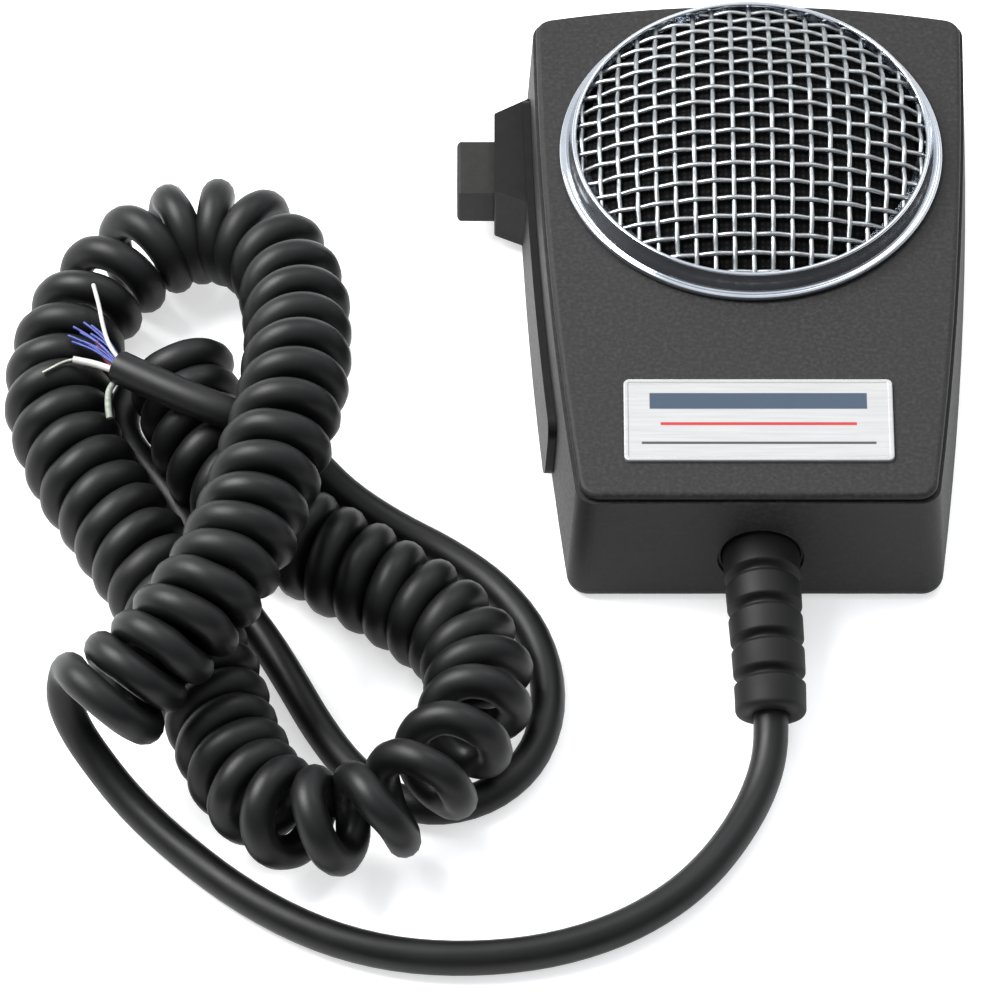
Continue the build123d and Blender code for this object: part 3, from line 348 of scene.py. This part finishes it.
def board_material(name):
    """Green lacquer over copper tracks, by a brick pattern."""
    material = bpy.data.materials.new(name)
    nodes, links, shader, coordinate = tree_of(material)
    tracks = nodes.new("ShaderNodeTexBrick")
    tracks.inputs["Scale"].default_value = 140
    tracks.inputs["Mortar Size"].default_value = 0.06
    tracks.inputs["Color1"].default_value = (0.01, 0.11, 0.035, 1)
    tracks.inputs["Color2"].default_value = (0.012, 0.15, 0.05, 1)
    tracks.inputs["Mortar"].default_value = (0.06, 0.24, 0.07, 1)
    links.new(coordinate.outputs["Object"], tracks.inputs["Vector"])
    links.new(tracks.outputs["Color"], shader.inputs["Base Color"])
    links.new(spread(nodes, links, tracks.outputs["Fac"], 0.0, 1.0, 0.35, 0.25), shader.inputs["Roughness"])
    add_bump(nodes, links, shader, tracks.outputs["Fac"], 0.5, 0.00008)
    return material


def battery_material(name, split_x):
    """A dark wrapper with a copper-coloured end, split at one X."""
    material = bpy.data.materials.new(name)
    nodes, links, shader, coordinate = tree_of(material)
    parts = nodes.new("ShaderNodeSeparateXYZ")
    links.new(coordinate.outputs["Object"], parts.inputs["Vector"])
    side = spread(nodes, links, parts.outputs["X"], split_x - 0.0003, split_x + 0.0003, 0.0, 1.0)
    print_grain = noise(nodes, links, coordinate.outputs["Object"], 700)
    colour = mix_colours(nodes, links, side, (0.012, 0.012, 0.014), (0.45, 0.2, 0.07))
    worn = spread(nodes, links, print_grain, 0.4, 0.8, 0.0, 0.3)
    links.new(mix_colours(nodes, links, worn, colour, (0.08, 0.07, 0.06)), shader.inputs["Base Color"])
    links.new(spread(nodes, links, print_grain, 0.3, 0.7, 0.25, 0.4), shader.inputs["Roughness"])
    add_bump(nodes, links, shader, print_grain, 0.3, 0.00003)
    return material


def metal(name, colour, second, rough, scale=300, bump=0.00001, stretch=(1, 1, 1)):
    """A bare or plated metal."""
    return plain_material(name, colour, second, scale, rough, bump=bump, metallic=1.0, stretch=stretch)


def stripe(nodes, links, value, low, high, soft):
    """One between two limits, nought beyond them."""
    rise = spread(nodes, links, value, low - soft, low + soft, 0.0, 1.0)
    fall = spread(nodes, links, value, high - soft, high + soft, 1.0, 0.0)
    node = nodes.new("ShaderNodeMath")
    node.operation = "MULTIPLY"
    links.new(rise, node.inputs[0])
    links.new(fall, node.inputs[1])
    return node.outputs["Value"]


def plate_material(name):
    """Brushed silver with plain stripes: a wide slate one, a thin red one and a thin grey one."""
    material = bpy.data.materials.new(name)
    nodes, links, shader, coordinate = tree_of(material)
    parts = nodes.new("ShaderNodeSeparateXYZ")
    links.new(coordinate.outputs["Object"], parts.inputs["Vector"])
    brushed = stretched(nodes, links, coordinate, (0.12, 3.0, 1.0))
    grain = noise(nodes, links, brushed, 600)
    fine = noise(nodes, links, brushed, 3500, detail=2.0)
    tone = spread(nodes, links, grain, 0.3, 0.7, 0.0, 1.0)
    colour = mix_colours(nodes, links, tone, (0.33, 0.33, 0.327), (0.28, 0.28, 0.28))
    low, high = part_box("name_plate")
    middle = (low.x + high.x) / 2
    for half, bottom, top, ink in PLATE_STRIPES:
        across = stripe(nodes, links, parts.outputs["X"], middle - half, middle + half, PLATE_STRIPE_BLUR)
        along = stripe(nodes, links, parts.outputs["Y"], low.y + bottom, low.y + top, PLATE_STRIPE_BLUR)
        both = nodes.new("ShaderNodeMath")
        both.operation = "MULTIPLY"
        links.new(across, both.inputs[0])
        links.new(along, both.inputs[1])
        colour = mix_colours(nodes, links, both.outputs["Value"], colour, ink)
    links.new(colour, shader.inputs["Base Color"])
    links.new(spread(nodes, links, fine, 0.3, 0.7, 0.3, 0.42), shader.inputs["Roughness"])
    add_bump(nodes, links, shader, fine, 0.3, 0.00001)
    shader.inputs["Metallic"].default_value = 0.15
    return material


# Metals: two tones, roughness, and where it isn't 300 the grain's scale, then relief and stretch.
METALS = {
    "bezel_chrome": ((0.56, 0.59, 0.63), (0.48, 0.51, 0.56), (0.07, 0.16), 120),
    "mesh_wire": ((0.36, 0.375, 0.38), (0.24, 0.255, 0.26), (0.26, 0.4), 900),
    "zinc_steel": ((0.6, 0.61, 0.6), (0.46, 0.47, 0.45), (0.25, 0.45)),
    "screw_steel": ((0.5, 0.5, 0.5), (0.34, 0.34, 0.35), (0.22, 0.4), 700),
    "brass": ((0.72, 0.5, 0.2), (0.55, 0.36, 0.13), (0.22, 0.4)),
    "spring_steel": ((0.55, 0.56, 0.58), (0.4, 0.41, 0.43), (0.18, 0.34)),
    "leaf_bronze": ((0.62, 0.38, 0.2), (0.48, 0.28, 0.14), (0.2, 0.38)),
    "cartridge_aluminium": ((0.74, 0.75, 0.76), (0.62, 0.63, 0.65), (0.25, 0.4), 500, 0.00001, (1, 1, 8)),
    "wire_tinned": ((0.3, 0.32, 0.27), (0.18, 0.19, 0.16), (0.4, 0.6), 2500),
}

# Other finishes: two tones, the grain's scale, roughness, relief, and for two of them metallic and stretch.
PLAIN = {
    "phenolic": ((0.16, 0.06, 0.02), (0.24, 0.1, 0.035), 260, (0.4, 0.6), 0.00004, 0.0, (1, 1, 6)),
    "foam": ((0.03, 0.03, 0.032), (0.008, 0.008, 0.009), 1100, (0.9, 1.0), 0.0003),
    "component_black": ((0.012, 0.012, 0.014), (0.03, 0.03, 0.035), 400, (0.25, 0.4), 0.00002),
    "resistor_beige": ((0.55, 0.4, 0.24), (0.42, 0.28, 0.15), 350, (0.35, 0.5), 0.00002, 0.0, (3, 1, 1)),
    "trimmer_blue": ((0.02, 0.12, 0.42), (0.03, 0.16, 0.5), 300, (0.3, 0.42), 0.00002),
    "trimmer_white": ((0.74, 0.73, 0.68), (0.62, 0.61, 0.56), 400, (0.35, 0.5), 0.00002),
    "hookup_wire": ((0.25, 0.02, 0.015), (0.18, 0.012, 0.01), 300, (0.35, 0.5), 0.00002),
    "wire_white": ((0.42, 0.41, 0.39), (0.3, 0.29, 0.28), 500, (0.4, 0.55), 0.00002),
    "wire_blue": ((0.006, 0.014, 0.12), (0.02, 0.04, 0.22), 900, (0.4, 0.55), 0.00004),
    "wire_screen": ((0.26, 0.29, 0.24), (0.14, 0.16, 0.13), 1600, (0.45, 0.65), 0.00006),
    "wire_red": ((0.3, 0.015, 0.02), (0.2, 0.01, 0.012), 600, (0.4, 0.55), 0.00002),
}
PAINT = ((0.010, 0.0098, 0.0096), (0.034, 0.0335, 0.033), (0.5, 0.68))
PTT_PLASTIC = ((0.0028, 0.0028, 0.0027), (0.0052, 0.0052, 0.005), 500, (0.42, 0.56), 0.00003)
BUTTON_PLASTIC = ((0.0075, 0.0075, 0.0068), (0.012, 0.012, 0.011), 600, (0.44, 0.58), 0.00003)
CORD_RUBBER = ((0.0022, 0.0023, 0.0024), (0.0042, 0.0043, 0.0045), (0.4, 0.52), 0.24)
# Cloth: the darker colour of the weave's hollows, which is painted shade, the lighter colour of the thread tops,
# and the thread count.
CLOTH_THREADS = ((0.001, 0.001, 0.001), (0.006, 0.006, 0.0065), 330)
BATTERY_END_X = 0.0075


def make_materials():
    """One material for each finish of the record."""
    made = {name: metal(name, *values) for name, values in METALS.items()}
    made.update({name: plain_material(name, *values) for name, values in PLAIN.items()})
    made["case_paint"] = paint_material("case_paint", *PAINT)
    made["ptt_plastic"] = plain_material("ptt_plastic", *PTT_PLASTIC, Specular_IOR_Level=0.15)
    made["button_plastic"] = plain_material("button_plastic", *BUTTON_PLASTIC, Specular_IOR_Level=0.2)
    made["cord_rubber"] = rubber_material("cord_rubber", *CORD_RUBBER)
    made["grille_cloth"] = cloth_material("grille_cloth", *CLOTH_THREADS)
    made["name_plate"] = plate_material("name_plate")
    made["circuit_board"] = board_material("circuit_board")
    made["battery_case"] = battery_material("battery_case", BATTERY_END_X)
    return made


MATERIALS = make_materials()


def dress(piece, slot, body="case", material=None):
    """Gives a piece the material of its slot, unless another material is given, and the body that it rides on.
    """
    piece.data.materials.clear()
    piece.data.materials.append(material or MATERIALS[slot])
    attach(piece, body)
    return piece


def dress_cad_nodes():
    """Every CAD node gets the detailed material of its slot."""
    slot_of = {entry["node"]: entry["material_slot"] for entry in frame["record"]["subparts"]}
    for name, node in frame["nodes"].items():
        for place in node.material_slots:
            place.material = MATERIALS[slot_of[name]]


# ---------------------------------------------------------------- helpers for shapes

def link(name, data):
    """A new object in the scene."""
    piece = bpy.data.objects.new(name, data)
    bpy.context.scene.collection.objects.link(piece)
    return piece


def smooth_curve(name, points, radius, resolution=6, sides=4):
    """A round tube along one smooth open line."""
    curve = bpy.data.curves.new(name, "CURVE")
    curve.dimensions = "3D"
    spline = curve.splines.new("NURBS")
    spline.points.add(len(points) - 1)
    for target, point in zip(spline.points, points):
        target.co = (*point, 1.0)
    spline.order_u = 3
    spline.use_endpoint_u = True
    curve.resolution_u = resolution
    curve.bevel_depth = radius
    curve.bevel_resolution = sides
    curve.use_fill_caps = True
    return link(name, curve)


def line_of(points):
    """Points along the smooth line that a route gives."""
    guide = smooth_curve("guide", points, 0.0, resolution=40)
    mesh = bpy.data.meshes.new_from_object(guide)
    line = [vertex.co.copy() for vertex in mesh.vertices]
    bpy.data.objects.remove(guide)
    bpy.data.meshes.remove(mesh)
    return line


def lathe(name, profile, centre, turns=160, closed=True):
    """A smooth ring or dish: a profile of radius and height turned about an upright axis."""
    count = len(profile)
    points = []
    for step in range(turns):
        angle = 2 * math.pi * step / turns
        across, along = math.cos(angle), math.sin(angle)
        for radius, height in profile:
            points.append((centre[0] + radius * across, centre[1] + radius * along, height))
    faces = []
    for step in range(turns):
        here, there = step * count, (step + 1) % turns * count
        for index in range(count if closed else count - 1):
            after = (index + 1) % count
            faces.append((here + index, there + index, there + after, here + after))
    mesh = bpy.data.meshes.new(name)
    mesh.from_pydata(points, [], faces)
    mesh.shade_smooth()
    return link(name, mesh)


def arc(centre, radius, start, end, steps):
    """Points of a round corner in a profile, from one angle to another in degrees."""
    points = []
    for step in range(steps + 1):
        angle = math.radians(start + (end - start) * step / steps)
        points.append((centre[0] + radius * math.cos(angle), centre[1] + radius * math.sin(angle)))
    return points


# ---------------------------------------------------------------- cord

def even_steps(line, step):
    """Points of a line at equal distances, and its length."""
    lengths = [0.0]
    for before, after in zip(line, line[1:]):
        lengths.append(lengths[-1] + (after - before).length)
    count = round(lengths[-1] / step)
    points, at = [], 0
    for index in range(count + 1):
        distance = lengths[-1] * index / count
        while at < len(line) - 2 and lengths[at + 1] < distance:
            at += 1
        share = (distance - lengths[at]) / (lengths[at + 1] - lengths[at])
        points.append(line[at].lerp(line[at + 1], min(1.0, share)))
    return points, lengths[-1]


def spacing_at(distance):
    """The turns' spacing at a distance along the axis."""
    for (start, low), (end, high) in zip(TURN_SPACING, TURN_SPACING[1:]):
        if distance <= end:
            return low + (high - low) * (distance - start) / (end - start)
    return TURN_SPACING[-1][1]


def helix_points():
    """The turns of the curly cord round the coil's axis."""
    axis, length = even_steps(line_of(COIL_ROUTE), AXIS_STEP)
    last = len(axis) - 1
    headings = []
    for index in range(last + 1):
        ahead, behind = axis[min(last, index + HEADING_REACH)], axis[max(0, index - HEADING_REACH)]
        headings.append((ahead - behind).normalized())
    turning = [2 * math.pi * AXIS_STEP / spacing_at(length * index / last) for index in range(last + 1)]
    whole = END_ANGLE - START_ANGLE
    turns = round((sum(turning) - whole) / (2 * math.pi))
    stretch = (whole + 2 * math.pi * turns) / sum(turning)
    points, angle, due = [], START_ANGLE, START_ANGLE
    for index in range(last + 1):
        while angle >= due:
            turn = (due - START_ANGLE) / (2 * math.pi)
            up = Vector((0, 0, 1))
            heading = headings[index]
            upright = (up - heading * up.dot(heading)).normalized()
            sideways = heading.cross(upright)
            radius = COIL_RADIUS * (1 + sum(share * math.sin(waves * turn) for share, waves in TURN_WANDER))
            radius += FIRST_TURN_EXTRA * max(0.0, 1 - turn / FIRST_TURN_FADE)
            # The smooth line cuts the corners of its control points, so they stand further out.
            radius /= (3 + math.cos(2 * math.pi / POINTS_PER_TURN)) / 4
            points.append(axis[index] + radius * (upright * math.cos(due) + sideways * math.sin(due)))
            due += 2 * math.pi / POINTS_PER_TURN
        angle += turning[index] * stretch
    return points


def frayed(name, route, radius, strands):
    """A bundle of thin strands that part towards their ends."""
    wire = smooth_curve(name, route, radius * STRAND_THICKNESS, resolution=10, sides=3)
    for strand in range(strands):
        angle = 2 * math.pi * strand / strands + 0.4
        spline = wire.data.splines.new("NURBS")
        spline.points.add(len(route) - 1)
        for index, (target, point) in enumerate(zip(spline.points, route)):
            part = radius * (STRAND_GAP + STRAND_SPREAD * index)
            shift = (part * math.cos(angle), part * 0.8 * math.sin(angle), part * 0.5 * math.sin(angle + 1.1))
            target.co = (point[0] + shift[0], point[1] + shift[1], point[2] + shift[2], 1.0)
        spline.order_u = 3
        spline.use_endpoint_u = True
    return wire


def curve_length(points):
    """The length of the smooth line that a route gives."""
    line = line_of(points)
    return sum((after - before).length for before, after in zip(line, line[1:]))


def make_cord():
    """The whole cord, boot to stripped end, as one line, and the conductors that come out of it."""
    points = [Vector(point) for point in LEAD_ROUTE[:-1]]
    points += helix_points()
    points += [Vector(point) for point in TAIL_ROUTE]
    cord = smooth_curve("curly_cord", points, CORD_DIAMETER / 2, resolution=4, sides=5)
    dress(cord, "cord_rubber")
    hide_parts("cord_lead", "cord_coil", "cord_tail")
    for name, (route, radius, slot) in CONDUCTORS.items():
        if name in FRAYED:
            wire = frayed(name + "_strand", route, radius, FRAYED[name])
        else:
            wire = smooth_curve(name + "_strand", route, radius, resolution=10, sides=3)
        dress(wire, slot)
        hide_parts(name)
    round(curve_length(points), 2)


# ---------------------------------------------------------------- grille

def dome_point(across, along, lift):
    """A point over the dome at two distances measured on its surface from the middle."""
    distance = math.hypot(across, along)
    angle = distance / DOME_R
    share = math.sin(angle) / distance if distance else 1 / DOME_R
    outward = Vector((across * share, along * share, math.cos(angle)))
    return DOME_CENTRE + outward * (DOME_R + lift)


def make_woven_mesh():
    """Plain woven wires pressed to a dome: each goes over one wire and under the next."""
    curve = bpy.data.curves.new("woven_mesh", "CURVE")
    curve.dimensions = "3D"
    curve.bevel_depth = MESH_WIRE_R
    curve.bevel_resolution = 2
    curve.use_fill_caps = True
    edge = DOME_R * math.asin(MESH_EDGE_R / DOME_R)
    wires = int(edge / MESH_PITCH)
    for direction in (0, 1):
        for index in range(-wires, wires + 1):
            offset = index * MESH_PITCH
            half = math.sqrt(edge**2 - offset**2)
            steps = max(4, round(2 * half / MESH_PITCH * MESH_STEPS))
            points = []
            for step in range(steps + 1):
                run = -half + 2 * half * step / steps
                wave = math.cos(math.pi * (run / MESH_PITCH + index + direction))
                places = (run, offset) if direction == 0 else (offset, run)
                points.append(dome_point(*places, MESH_WAVE * wave))
            spline = curve.splines.new("POLY")
            spline.points.add(len(points) - 1)
            spline.use_smooth = True
            for target, point in zip(spline.points, points):
                target.co = (*point, 1.0)
    mesh = link("woven_mesh", curve)
    dress(mesh, "mesh_wire")
    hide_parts("grille_mesh")


def make_cloth():
    """Black cloth stretched under the mesh."""
    radius = DOME_R - CLOTH_DROP
    profile = []
    for ring in range(CLOTH_RINGS + 1):
        reach = CLOTH_EDGE_R * max(ring, 0.02) / CLOTH_RINGS
        profile.append((reach, DOME_CENTRE.z + math.sqrt(radius**2 - reach**2)))
    cloth = lathe("speaker_cloth", profile, (0, GRILLE_Y), turns=96, closed=False)
    cloth.modifiers.new("thickness", "SOLIDIFY").thickness = CLOTH_THICKNESS
    dress(cloth, "grille_cloth")
    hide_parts("grille_cloth")


def make_bezel():
    """The bright ring: a round bead on the cover, a steep band and a rolled inner lip."""
    profile = [(0.0259, 0.0225), (0.02735, 0.0225), (0.02735, 0.026), (0.0302, 0.026)]
    profile += arc((0.0304, 0.0266), 0.0006, -80, 110, 12)
    profile += [(0.02995, 0.0272), (0.02985, 0.0276), (0.0294, 0.0288), (0.0290, 0.0299)]
    profile += arc((0.02858, 0.0301), 0.0004, 15, 175, 10)
    profile += [(0.0282, 0.0297), (0.0285, 0.029), (0.0285, 0.027), (0.0259, 0.027)]
    ring = lathe("chrome_ring", profile, (0, GRILLE_Y))
    dress(ring, "bezel_chrome")
    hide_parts("grille_bezel")


# ---------------------------------------------------------------- small pieces

def make_spring():
    """The button's return spring, drawn at one length; the real one shortens as the button goes in."""
    low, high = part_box("ptt_spring")
    centre_y, centre_z = (low.y + high.y) / 2, (low.z + high.z) / 2
    start, end = low.x + SPRING_WIRE_R, high.x - SPRING_WIRE_R
    steps = SPRING_TURNS * SPRING_POINTS_PER_TURN
    points = []
    for step in range(steps + 1):
        angle = 2 * math.pi * SPRING_TURNS * step / steps
        across, up = SPRING_COIL_R * math.cos(angle), SPRING_COIL_R * math.sin(angle)
        points.append((start + (end - start) * step / steps, centre_y + across, centre_z + up))
    guide = smooth_curve("guide", points, SPRING_WIRE_R, resolution=3, sides=3)
    graph = bpy.context.evaluated_depsgraph_get()
    mesh = bpy.data.meshes.new_from_object(guide.evaluated_get(graph))
    bpy.data.objects.remove(guide)
    spring = dress(link("return_spring", mesh), "spring_steel")
    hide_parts("ptt_spring")
    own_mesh(spring)


def boot_radius(distance):
    """The sleeve's radius at a distance along the lead: a taper with grooves and a round tip."""
    if distance < BOOT_FLANGE_END:
        return BOOT_FLANGE_R
    share = (distance - BOOT_START) / (BOOT_END - BOOT_START)
    radius = BOOT_WALL_R + (BOOT_TIP_R - BOOT_WALL_R) * share
    for groove in range(BOOT_GROOVES):
        away = abs(distance - BOOT_FIRST_GROOVE - groove * BOOT_GROOVE_STEP) / BOOT_GROOVE_HALF
        if away < 1:
            radius -= BOOT_GROOVE_DEPTH * (0.5 + 0.5 * math.cos(math.pi * away)) ** BOOT_GROOVE_POWER
    to_tip = BOOT_END - distance
    if to_tip < BOOT_ROUND:
        radius -= BOOT_ROUND - math.sqrt(max(0.0, BOOT_ROUND ** 2 - (BOOT_ROUND - to_tip) ** 2))
    return radius


def make_boot():
    """The strain relief's moulded sleeve: rings swept along the lead, and the bore the lead is in."""
    line, length = even_steps(line_of(LEAD_ROUTE), BOOT_STEP)
    step = length / (len(line) - 1)
    first, last = round(BOOT_START / step), round(BOOT_END / step)
    rings = [(index, boot_radius(index * step)) for index in range(first, last + 1)]
    rings += [(index, BOOT_BORE_R) for index in range(last, first - 1, -BOOT_BORE_EVERY)]
    points, faces = [], []
    for index, radius in rings:
        heading = (line[index + BOOT_HEADING_REACH] - line[max(0, index - BOOT_HEADING_REACH)]).normalized()
        across = heading.cross(Vector((0, 0, 1))).normalized()
        upright = across.cross(heading)
        for side in range(BOOT_SIDES):
            angle = 2 * math.pi * side / BOOT_SIDES
            points.append(line[index] + radius * (across * math.cos(angle) + upright * math.sin(angle)))
    for ring in range(len(rings)):
        here, there = ring * BOOT_SIDES, (ring + 1) % len(rings) * BOOT_SIDES
        for side in range(BOOT_SIDES):
            after = (side + 1) % BOOT_SIDES
            faces.append((here + side, here + after, there + after, there + side))
    mesh = bpy.data.meshes.new("boot_sleeve")
    mesh.from_pydata(points, [], faces)
    mesh.shade_smooth()
    colours = (0.003, 0.003, 0.0031), (0.0055, 0.0055, 0.0057)
    rubber = rubber_material("boot_rubber", *colours, (0.55, 0.7), 0.22)
    boot = dress(link("boot_sleeve", mesh), "cord_rubber", material=rubber)
    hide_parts("cord_boot")


def rounded_corners(low, high, inset, height):
    """The plate's outline, drawn in by an inset, as points at one height."""
    points = []
    for turn, (x, y) in enumerate(((high.x, high.y), (low.x, high.y), (low.x, low.y), (high.x, low.y))):
        reach = PLATE_CORNER * (1 if turn in (0, 3) else -1), PLATE_CORNER * (1 if turn < 2 else -1)
        centre = (x - reach[0], y - reach[1])
        for point in arc(centre, PLATE_CORNER - inset, 90 * turn, 90 * turn + 90, 8):
            points.append((*point, height))
    return points


def make_name_plate():
    """The plate: rounded edges, a raised rim and a shallow recess inside it."""
    low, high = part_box("name_plate")
    top = low.z + PLATE_HEIGHT
    levels = [
        (0.0, low.z), (0.0, top - PLATE_EDGE), (PLATE_CHAMFER, top - PLATE_CHAMFER),
        (PLATE_EDGE, top), (PLATE_RIM, top), (PLATE_RIM + PLATE_EDGE, top - PLATE_RECESS),
    ]
    points, faces = [], []
    for inset, height in levels:
        points += rounded_corners(low, high, inset, height)
    count = len(points) // len(levels)
    for level in range(len(levels) - 1):
        for index in range(count):
            here, after = level * count + index, level * count + (index + 1) % count
            faces.append((here, after, after + count, here + count))
    faces.append(tuple(range((len(levels) - 1) * count, len(points))))
    faces.append(tuple(reversed(range(count))))
    mesh = bpy.data.meshes.new("silver_plate")
    mesh.from_pydata(points, [], faces)
    plate = dress(link("silver_plate", mesh), "name_plate")
    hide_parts("name_plate")


def make_foam_pads():
    """The soft blocks above and below the battery, with round edges."""
    low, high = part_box("battery_foam")
    battery_low, battery_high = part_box("battery")
    mesh = bpy.data.meshes.new("foam_pads")
    work = bmesh.new()
    for bottom, top in ((low.z, battery_low.z - FOAM_GAP), (battery_high.z, high.z)):
        made = bmesh.ops.create_cube(work, size=1.0)["verts"]
        for vertex in made:
            vertex.co.x = low.x if vertex.co.x < 0 else high.x
            vertex.co.y = low.y if vertex.co.y < 0 else high.y
            vertex.co.z = bottom if vertex.co.z < 0 else top
    work.to_mesh(mesh)
    work.free()
    pads = link("foam_pads", mesh)
    bevel = pads.modifiers.new("round", "BEVEL")
    bevel.width = FOAM_ROUND
    bevel.segments = 3
    dress(pads, "foam")
    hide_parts("battery_foam")


def make_gasket():
    """The foam ring between the cartridge and the bezel."""
    low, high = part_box("element_gasket")
    outer = (high.x - low.x) / 2
    inner = outer - GASKET_WIDTH
    profile = arc((outer - GASKET_ROUND, high.z - GASKET_ROUND), GASKET_ROUND, 0, 90, 4)
    profile += arc((inner + GASKET_ROUND, high.z - GASKET_ROUND), GASKET_ROUND, 90, 180, 4)
    profile += arc((inner + GASKET_ROUND, low.z + GASKET_ROUND), GASKET_ROUND, 180, 270, 4)
    profile += arc((outer - GASKET_ROUND, low.z + GASKET_ROUND), GASKET_ROUND, 270, 360, 4)
    ring = lathe("foam_ring", profile, ((low.x + high.x) / 2, (low.y + high.y) / 2), turns=72)
    dress(ring, "foam")
    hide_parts("element_gasket")


# ---------------------------------------------------------------- stage

def make_floor():
    """A pale floor."""
    mesh = bpy.data.meshes.new("floor")
    corners = [(-1, -1), (1, -1), (1, 1), (-1, 1)]
    points = [(FLOOR_HALF * x, FLOOR_HALF * y, 0) for x, y in corners]
    mesh.from_pydata(points, [], [(0, 1, 2, 3)])
    floor = link("floor", mesh)
    paper = plain_material("floor_paper", (0.62, 0.62, 0.62), (0.6, 0.6, 0.605), 12, (0.7, 0.8),
                           Emission_Color=(1, 1, 1, 1), Emission_Strength=FLOOR_GLOW)
    floor.data.materials.append(paper)


def make_light(name, place, size, power):
    """A square soft light aimed at the middle of the object."""
    data = bpy.data.lights.new(name, "AREA")
    data.size = size
    data.energy = power
    light = link(name, data)
    light.location = place
    aim = LIGHT_AIM - Vector(place)
    light.rotation_euler = aim.to_track_quat("-Z", "Y").to_euler()


def make_world():
    """A white room that is darker behind the camera."""
    world = bpy.data.worlds.new("room")
    bpy.context.scene.world = world
    world.use_nodes = True
    nodes, links = world.node_tree.nodes, world.node_tree.links
    background = nodes.get("Background") or nodes.new("ShaderNodeBackground")
    output = nodes.get("World Output") or nodes.new("ShaderNodeOutputWorld")
    links.new(background.outputs["Background"], output.inputs["Surface"])
    direction = nodes.new("ShaderNodeTexCoord")
    parts = nodes.new("ShaderNodeSeparateXYZ")
    links.new(direction.outputs["Generated"], parts.inputs["Vector"])
    height = spread(nodes, links, parts.outputs["Z"], *ROOM_HEIGHTS, 0.0, 1.0)
    depth = spread(nodes, links, parts.outputs["Y"], *ROOM_DEPTHS, 0.0, 1.0)
    most = nodes.new("ShaderNodeMath")
    most.operation = "MAXIMUM"
    links.new(height, most.inputs[0])
    links.new(depth, most.inputs[1])
    links.new(mix_colours(nodes, links, most.outputs["Value"], ROOM_DARK, ROOM_PALE), background.inputs["Color"])
    background.inputs["Strength"].default_value = ROOM_STRENGTH


def make_camera():
    """A long lens that looks down at the front from the cord's end."""
    data = bpy.data.cameras.new("camera")
    data.lens = CAMERA_LENS
    data.sensor_width = 36
    data.clip_end = 20
    camera = link("camera", data)
    camera.location = CAMERA_PLACE
    camera.rotation_euler = (CAMERA_TILT, 0, 0)
    bpy.context.scene.camera = camera


bpy.context.scene.view_settings.view_transform = "Standard"
make_camera()
make_world()
make_floor()
for light_name, light_values in LIGHTS.items():
    make_light(light_name, *light_values)
dress_cad_nodes()
make_cord()
make_woven_mesh()
make_cloth()
make_bezel()
make_boot()
make_spring()
make_name_plate()
make_foam_pads()
make_gasket()
